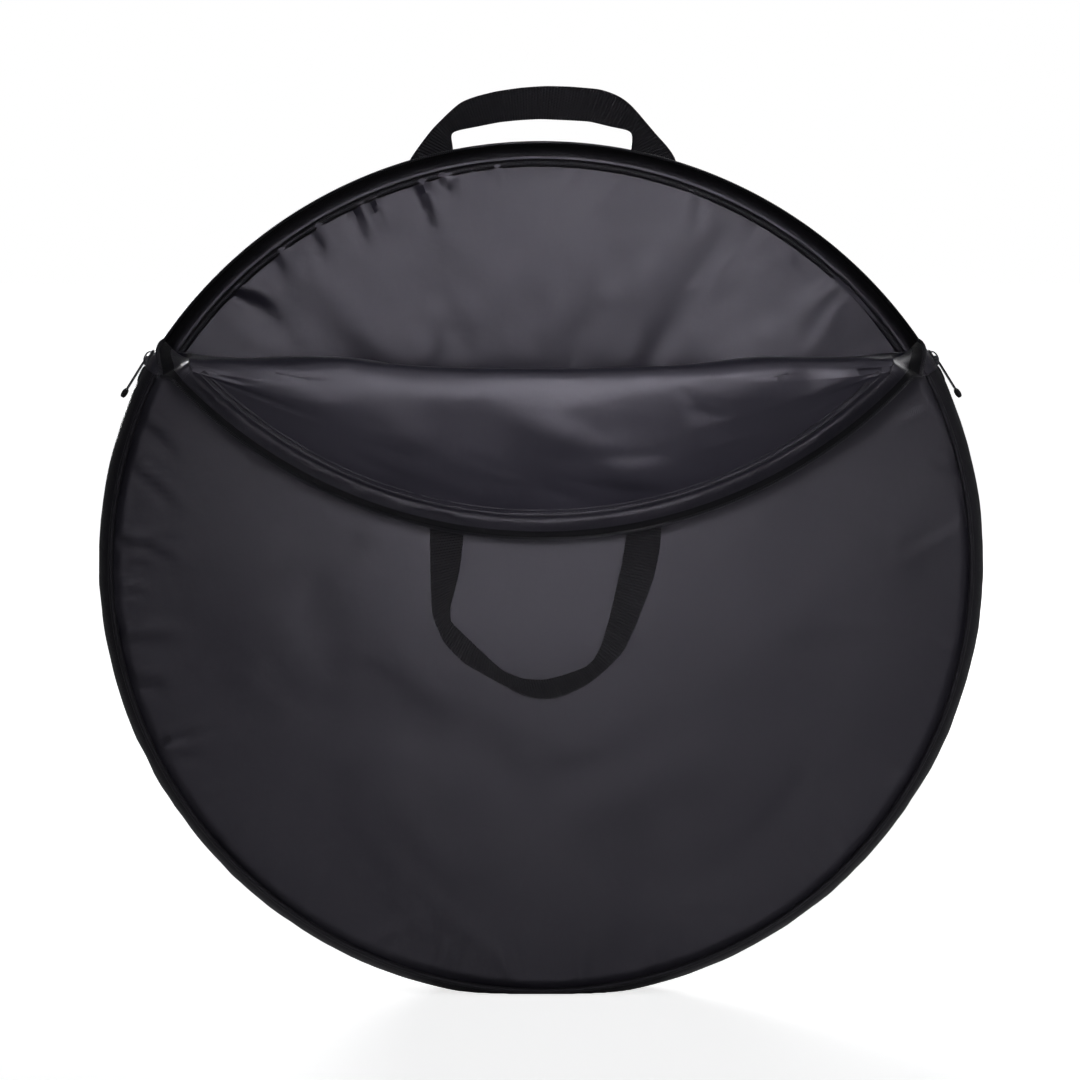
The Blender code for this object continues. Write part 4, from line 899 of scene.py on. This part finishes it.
# Handles; their outlines are in millimetres, and the leans say how far the outer and the inner edge stand off
def smoothRow(points, count):
    # even steps along straight pieces between the points, then rounded by averaging with their neighbours
    points = np.array(points) / 1000
    length = runLength(points)
    row = pointsAt(points, length / length[-1], np.linspace(0, 1, count))
    for _ in range(6):
        averaged(row)
    return row


def strapEdge(share):  # half thickness over a strap's width, thinner at its rounded edges
    return 1 - 0.55 * np.abs(2 * share - 1) ** 6


def strapUv(share, length):
    return np.stack(np.broadcast_arrays((share * strapWidth)[None, :], length[:, None]), axis=-1)


def handlePiece(name, body, tilt, y, leans, outer, inner):
    # a strap between two outlines
    left, right = (np.insert(smoothRow(outline, len(tilt)), 1, y + lean * tilt, axis=1)
                   for outline, lean in ((outer, leans[0]), (inner, leans[1])))
    centre = (left + right) / 2
    normal = unit(np.cross(np.gradient(centre, axis=0), right - left))
    share = np.linspace(0, 1, 12)
    across = left[:, None] * (1 - share)[:, None] + right[:, None] * share[:, None]
    half = normal[:, None] * (strapThickness / 2 * strapEdge(share))[:, None]
    strap = sheetPiece(name, across + half, across - half, look["webbingWeave"], uv=strapUv(share, runLength(centre)))
    finishPiece(strap, body, "webbing", body)


topHandle = dict(
    y=0.0336043, leans=(0.003, -0.001),
    outer=[(-113, 637), (-113.5, 675), (-116, 700), (-114.5, 716.5), (-104.8, 730.3), (-93.6, 744.8), (-78.1, 760),
           (-68.7, 768), (-56.7, 772.5), (-39.5, 776.8), (-18.1, 780), (3.3, 781.5), (24.7, 781), (50.4, 778.8),
           (61.5, 775.2), (69.2, 771.5), (76.9, 765.5), (84.7, 756.7), (98.5, 740.5), (108.8, 729.5), (116, 719),
           (117, 700), (113.5, 675), (113, 637)],
    inner=[(-83, 637), (-83, 680), (-80, 700), (-74.5, 718), (-76.2, 732.9), (-77.9, 741.5), (-70, 744),
           (-56.7, 746.5), (-35.3, 750.7), (-18.1, 752.4), (-1, 753.3), (20.4, 752.4), (41.8, 751.2), (60.7, 746.5),
           (70, 744.8), (77.9, 742.8), (77.9, 732.9), (76.2, 720), (80, 702), (83, 680), (83, 637)])
frontHandle = dict(
    y=-0.0617173, leans=(-0.004, 0.001),
    outer=[(-95.5, 427.7), (-93.4, 409.5), (-93.1, 372.2), (-92, 338.2), (-82.8, 315.2), (-66, 297.3), (-43.2, 284.5),
           (-22.1, 273.3), (-6.1, 267.2), (10, 267.2), (26, 272.5), (42.1, 281), (58.1, 294.7), (69.9, 307.5),
           (80.8, 332.2), (94.9, 370.5), (99.9, 395.1), (101, 409.5), (103.5, 427.7)],
    inner=[(-66, 427.7), (-64.8, 409.5), (-69.1, 373.9), (-77.5, 343.3), (-76.9, 332.2), (-51.6, 307.5),
           (-32.2, 289.4), (-14.5, 282.4), (3.2, 282), (18.4, 286.1), (34.5, 291.6), (43.7, 297.7), (50.5, 310.5),
           (58, 336.5), (68, 380.7), (72.1, 406.9), (74.5, 427.7)])
handleSteps = np.linspace(0, 1, 200)
handlePiece("carryHandle", "top_handle", np.sin(math.pi * handleSteps) ** 2, **topHandle)
handlePiece("frontHandle", "front_handle", bell(handleSteps - 0.5, 0.16), **frontHandle)
print("handles made")


# Sewn ends of the handles, patches at the zip's ends, and stitches
stitchShape = dict(length=0.0026, pitch=0.0034, radius=0.00026, sides=6, step=0.0008, boxHalf=0.0115)
# each ring of a stitch: its place along the thread, its size and how far it stands up
stitchRings = ((-0.5, 0.45, -0.5), (-0.36, 1.0, 0.35), (0.36, 1.0, 0.35), (0.5, 0.45, -0.5))


def stitchPiece(name, paths, ups):
    # one short raised thread after another along each path: four rings, closed at either end
    pitch, sides, step = stitchShape["pitch"], stitchShape["sides"], stitchShape["step"]
    rows = []
    for path, up in zip(paths, ups):
        length = runLength(path)
        place = np.arange(pitch / 2, length[-1] - pitch / 3, pitch)
        before, centre, after = (pointsAt(path, length, place + shift) for shift in (-step, 0, step))
        rows.append((centre, after - before, pointsAt(up, length, place)))
    centre, ahead, lift = (np.concatenate(column) for column in zip(*rows))
    ahead, lift = unit(ahead), unit(lift)
    beside = unit(np.cross(ahead, lift))
    rings = np.stack([ringsRound(
        centre + ahead * place * stitchShape["length"] + lift * stitchShape["radius"] * sink, beside, lift,
        stitchShape["radius"] * size, sides) for place, size, sink in stitchRings], axis=1)
    base = np.arange(len(centre))[:, None] * 4 * sides
    faces = []
    for ring in range(3):
        for k in range(sides):
            a, b = ring * sides + k, ring * sides + (k + 1) % sides
            faces += (base + np.array([a, b, b + sides, a + sides])).tolist()
    faces += (base + np.arange(sides)[::-1]).tolist() + (base + 3 * sides + np.arange(sides)).tolist()
    points = rings.reshape(-1, 3)
    return pieceFrom(name, points, faces, points[:, [0, 2]], look["sewingThread"])


def sewnEnd(name, body, node, middleX, heights, lifts, side, move=None):
    # a strap end that lies on the cloth
    share = np.linspace(0, 1, 13)
    x, half = middleX + (share - 0.5) * strapWidth, strapThickness / 2
    grids = []
    for level in (strapThickness, 0.0):
        grid = faceAt(x, heights[:, None], side, 0)
        grid[..., 1] += side * (lifts[:, None] + half + (level - half) * strapEdge(share))
        grids.append(move(grid) if move else grid)
    uv = strapUv(share, runLength(np.stack([heights, lifts], axis=-1)))
    finishPiece(sheetPiece(name, *grids, look["webbingWeave"], uv=uv), body, "webbing", node)


def boxStitches(name, body, middleX, low, high, side, move=None):
    # a box and its two diagonals
    wide = stitchShape["boxHalf"]
    corners = [(-wide, low), (wide, low), (wide, high), (-wide, high), (-wide, low)]
    runs = [corners[k:k + 2] for k in range(4)] + [[(-wide, low), (wide, high)], [(wide, low), (-wide, high)]]
    paths, ups = [], []
    for (x0, z0), (x1, z1) in runs:
        t = np.linspace(0, 1, 20)
        path = faceAt(middleX + x0 + (x1 - x0) * t, z0 + (z1 - z0) * t, side, -(gap + strapThickness))
        up = np.broadcast_to(np.array([0.0, side, 0.0]), path.shape)
        paths.append(move(path) if move else path)
        ups.append(turned(up) if move else up)
    finishPiece(stitchPiece(name, paths, ups), body, "webbing")


def seamAt(x):  # height of the flap's seam while it is shut
    return zipCentreZ + math.sqrt(upperSeam ** 2 - x ** 2)


# the carry handle's ends lie flat; the front handle's ends lie flat and then climb a ramp over the piping
carryEnd = dict(feet=(-rearPanel["strapX"], rearPanel["strapX"]), low=0.59704, high=0.63804, box=(0.6000, 0.6330))
loopEnd = dict(feet=(-0.081, 0.089), lying=0.040, ramp=0.014, seamGap=0.0044, outerX=0.104, innerX=0.066,
               endTuck=0.00095, box=(0.037, 0.003))
for (sideName, _), footX in zip(sides, carryEnd["feet"]):
    sewnEnd(sideName + "CarryEnd", "bag", "top_handle_end_" + sideName, footX,
            np.linspace(carryEnd["low"], carryEnd["high"], 30), np.full(30, gap), 1)
    boxStitches(sideName + "CarryStitches", "bag", footX, *carryEnd["box"], 1)

rampEnd = seamAt(loopEnd["outerX"]) - loopEnd["seamGap"]
rampStart = rampEnd - loopEnd["ramp"]
hemHeight = seamAt(loopEnd["innerX"]) + pipingRadius - loopEnd["endTuck"]
heights = np.concatenate([np.linspace(rampStart - loopEnd["lying"], rampStart, 24),
                          np.linspace(rampStart, rampEnd, 14)[1:], np.linspace(rampEnd, hemHeight, 5)[1:]])
lifts = gap + (pipingY + pipingRadius - halfDepth) * ease((heights - rampStart) / loopEnd["ramp"])
for (sideName, _), footX in zip(sides, loopEnd["feet"]):
    sewnEnd(sideName + "LoopEnd", "flap", "front_handle_end_" + sideName, footX, heights, lifts, -1, opened)
    boxStitches(sideName + "LoopStitches", "flap", footX, *(rampStart - below for below in loopEnd["box"]), -1, opened)

patchShape = dict(length=0.014, halfWidth=0.008, levels=(0.0014, 0.0003), rows=16, columns=21)
for sideName, middleTurn, way in (("left", math.pi - zipEndAngle, 1), ("right", zipEndAngle, -1)):
    turns = np.linspace(middleTurn, middleTurn + way * patchShape["length"] / bagRadius, patchShape["rows"])
    ends = [rimRound(edge * patchShape["halfWidth"]) for edge in (1, -1)]
    grids = [rimGrid(turns, np.linspace(*ends, patchShape["columns"]), -level) for level in patchShape["levels"]]
    hem = [np.exp(-((np.linspace(0, 1, patchShape[axis]) - 0.5) / width) ** 6)
           for axis, width in (("rows", 0.42), ("columns", 0.44))]
    grids[0] = grids[1] + (grids[0] - grids[1]) * (0.35 + 0.65 * np.outer(*hem))[..., None]
    patch = sheetPiece(sideName + "ZipPatch", *grids, look["bandCloth"])
    finishPiece(patch, "bag", "band_cloth", sideName + "_zip_stop")


def bindingStitches(name, body, turns, side, move=None):  # one row along the binding's middle
    radius = seamRadius(turns) - gap - trimShape["bindingSetback"] - trimShape["bindingWidth"] / 2
    path = faceAt(radius * np.cos(turns), centreZ + radius * np.sin(turns), side,
                  wallDepth + gap + trimShape["bindingThickness"] * 0.45)
    up = np.broadcast_to(np.array([0.0, -side, 0.0]), path.shape)
    stitches = stitchPiece(name, [move(path) if move else path], [turned(up) if move else up])
    finishPiece(stitches, body, "band_cloth")


bindingStitches("rearBindingStitches", "bag", fullTurns, 1)
bindingStitches("flapBindingStitches", "flap", innerTurns, -1, opened)
print("stitches made")


# Nodes that keep their shape get their own finish
for names, material in ((("left_slider", "right_slider", "left_pull_tab", "right_pull_tab"), "sliderMetal"),
                        (("left_pull_grip", "right_pull_grip"), "gripRubber"),
                        (("rear_axle_guard", "front_axle_guard"), "guardPlastic")):
    for name in names:
        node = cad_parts[name]
        node.data.materials.clear()
        node.data.materials.append(look[material])
print("kept nodes finished")


# Floor, light and camera
def makeStage():
    mesh = bpy.data.meshes.new("floor")
    mesh.from_pydata([(-9, -5, 0), (9, -5, 0), (9, 14, 0), (-9, 14, 0)], [], [(0, 1, 2, 3)])
    floor = bpy.data.objects.new("floor", mesh)
    bpy.context.scene.collection.objects.link(floor)
    paper = bpy.data.materials.new("floorPaper")
    paper.use_nodes = True
    tree = paper.node_tree
    shader = tree.nodes["Principled BSDF"].inputs
    # the paper glows a little for the camera alone, and more with distance, so that it meets the white
    far = addNode(tree, "VectorMath", dict(operation="LENGTH"), Vector=addNode(tree, "TexCoord")["Object"])["Value"]
    glow = addNode(tree, "MapRange", Value=far, From_Min=0.5, From_Max=2.6, To_Min=0.74, To_Max=1.0)[0]
    glow = mathNode(tree, "MULTIPLY", glow, addNode(tree, "LightPath")["Is Camera Ray"])
    for label, value in (("Base Color", (0.85, 0.85, 0.85, 1)), ("Roughness", 0.9), ("Specular IOR Level", 0.0),
                         ("Emission Color", (1, 1, 1, 1)), ("Emission Strength", glow)):
        plug(tree, shader[label], value)
    mesh.materials.append(paper)
    world = bpy.data.worlds.new("studio")
    world.use_nodes = True
    tree = world.node_tree
    dim = tree.nodes["Background"]
    plug(tree, dim.inputs["Color"], (0.93, 0.94, 1.0, 1))
    plug(tree, dim.inputs["Strength"], 0.09)
    white = addNode(tree, "Background", Color=(1, 1, 1, 1), Strength=1.0)
    both = tree.nodes.new("ShaderNodeMixShader")
    seen = addNode(tree, "LightPath")["Is Camera Ray"]
    for socket, value in zip(both.inputs, (seen, dim.outputs[0], white[0])):
        plug(tree, socket, value)
    plug(tree, tree.nodes["World Output"].inputs[0], both.outputs[0])
    bpy.context.scene.world = world
    bpy.context.scene.view_settings.view_transform = "Standard"


def aim(thing, place, target):
    thing.matrix_world = Matrix.Translation(place) @ (target - place).to_track_quat("-Z", "Y").to_matrix().to_4x4()
    bpy.context.scene.collection.objects.link(thing)


# panels of light: place, target, width and height, power in watts, spread in degrees
lights = dict(
    frontPanel=((-0.10, -2.6, 1.15), (0.04, 0, 0.51), (0.5, 0.5), 0.60, 18),
    lowPanel=((0.10, -2.7, 0.45), (0.03, 0, 0.28), (0.4, 0.4), 0.20, 18),
    skyPanel=((0.2, -1.3, 2.3), (0, -0.05, 0.45), (1.2, 0.8), 5, 180),
    sidePanel=((2.2, -1.2, 1.2), (0, 0, 0.4), (0.8, 1.4), 6, 180),
    backPanel=((-0.9, 2.8, 0.9), (0, 0, 0.4), (0.9, 0.9), 5, 34),
    backFill=((1.1, 2.8, 1.5), (0, 0, 0.4), (1.2, 0.9), 20, 180),
)
view = dict(elevation=math.radians(7), distance=2.8, target=(-0.001, 0, 0.394), lens=108.5, sensor=36)


def makeLights():
    for name, (place, target, size, power, spread) in lights.items():
        light = bpy.data.lights.new(name, "AREA")
        light.shape, light.size, light.size_y, light.energy = "RECTANGLE", *size, power
        light.spread = math.radians(spread)
        aim(bpy.data.objects.new(name, light), Vector(place), Vector(target))


def makeCamera():
    camera = bpy.data.objects.new("camera", bpy.data.cameras.new("camera"))
    camera.data.lens, camera.data.sensor_width = view["lens"], view["sensor"]
    target = Vector(view["target"])
    place = target + view["distance"] * Vector((0, -math.cos(view["elevation"]), math.sin(view["elevation"])))
    aim(camera, place, target)
    bpy.context.scene.camera = camera


makeStage()
makeLights()
makeCamera()
bpy.context.view_layer.update()
print("stage set")
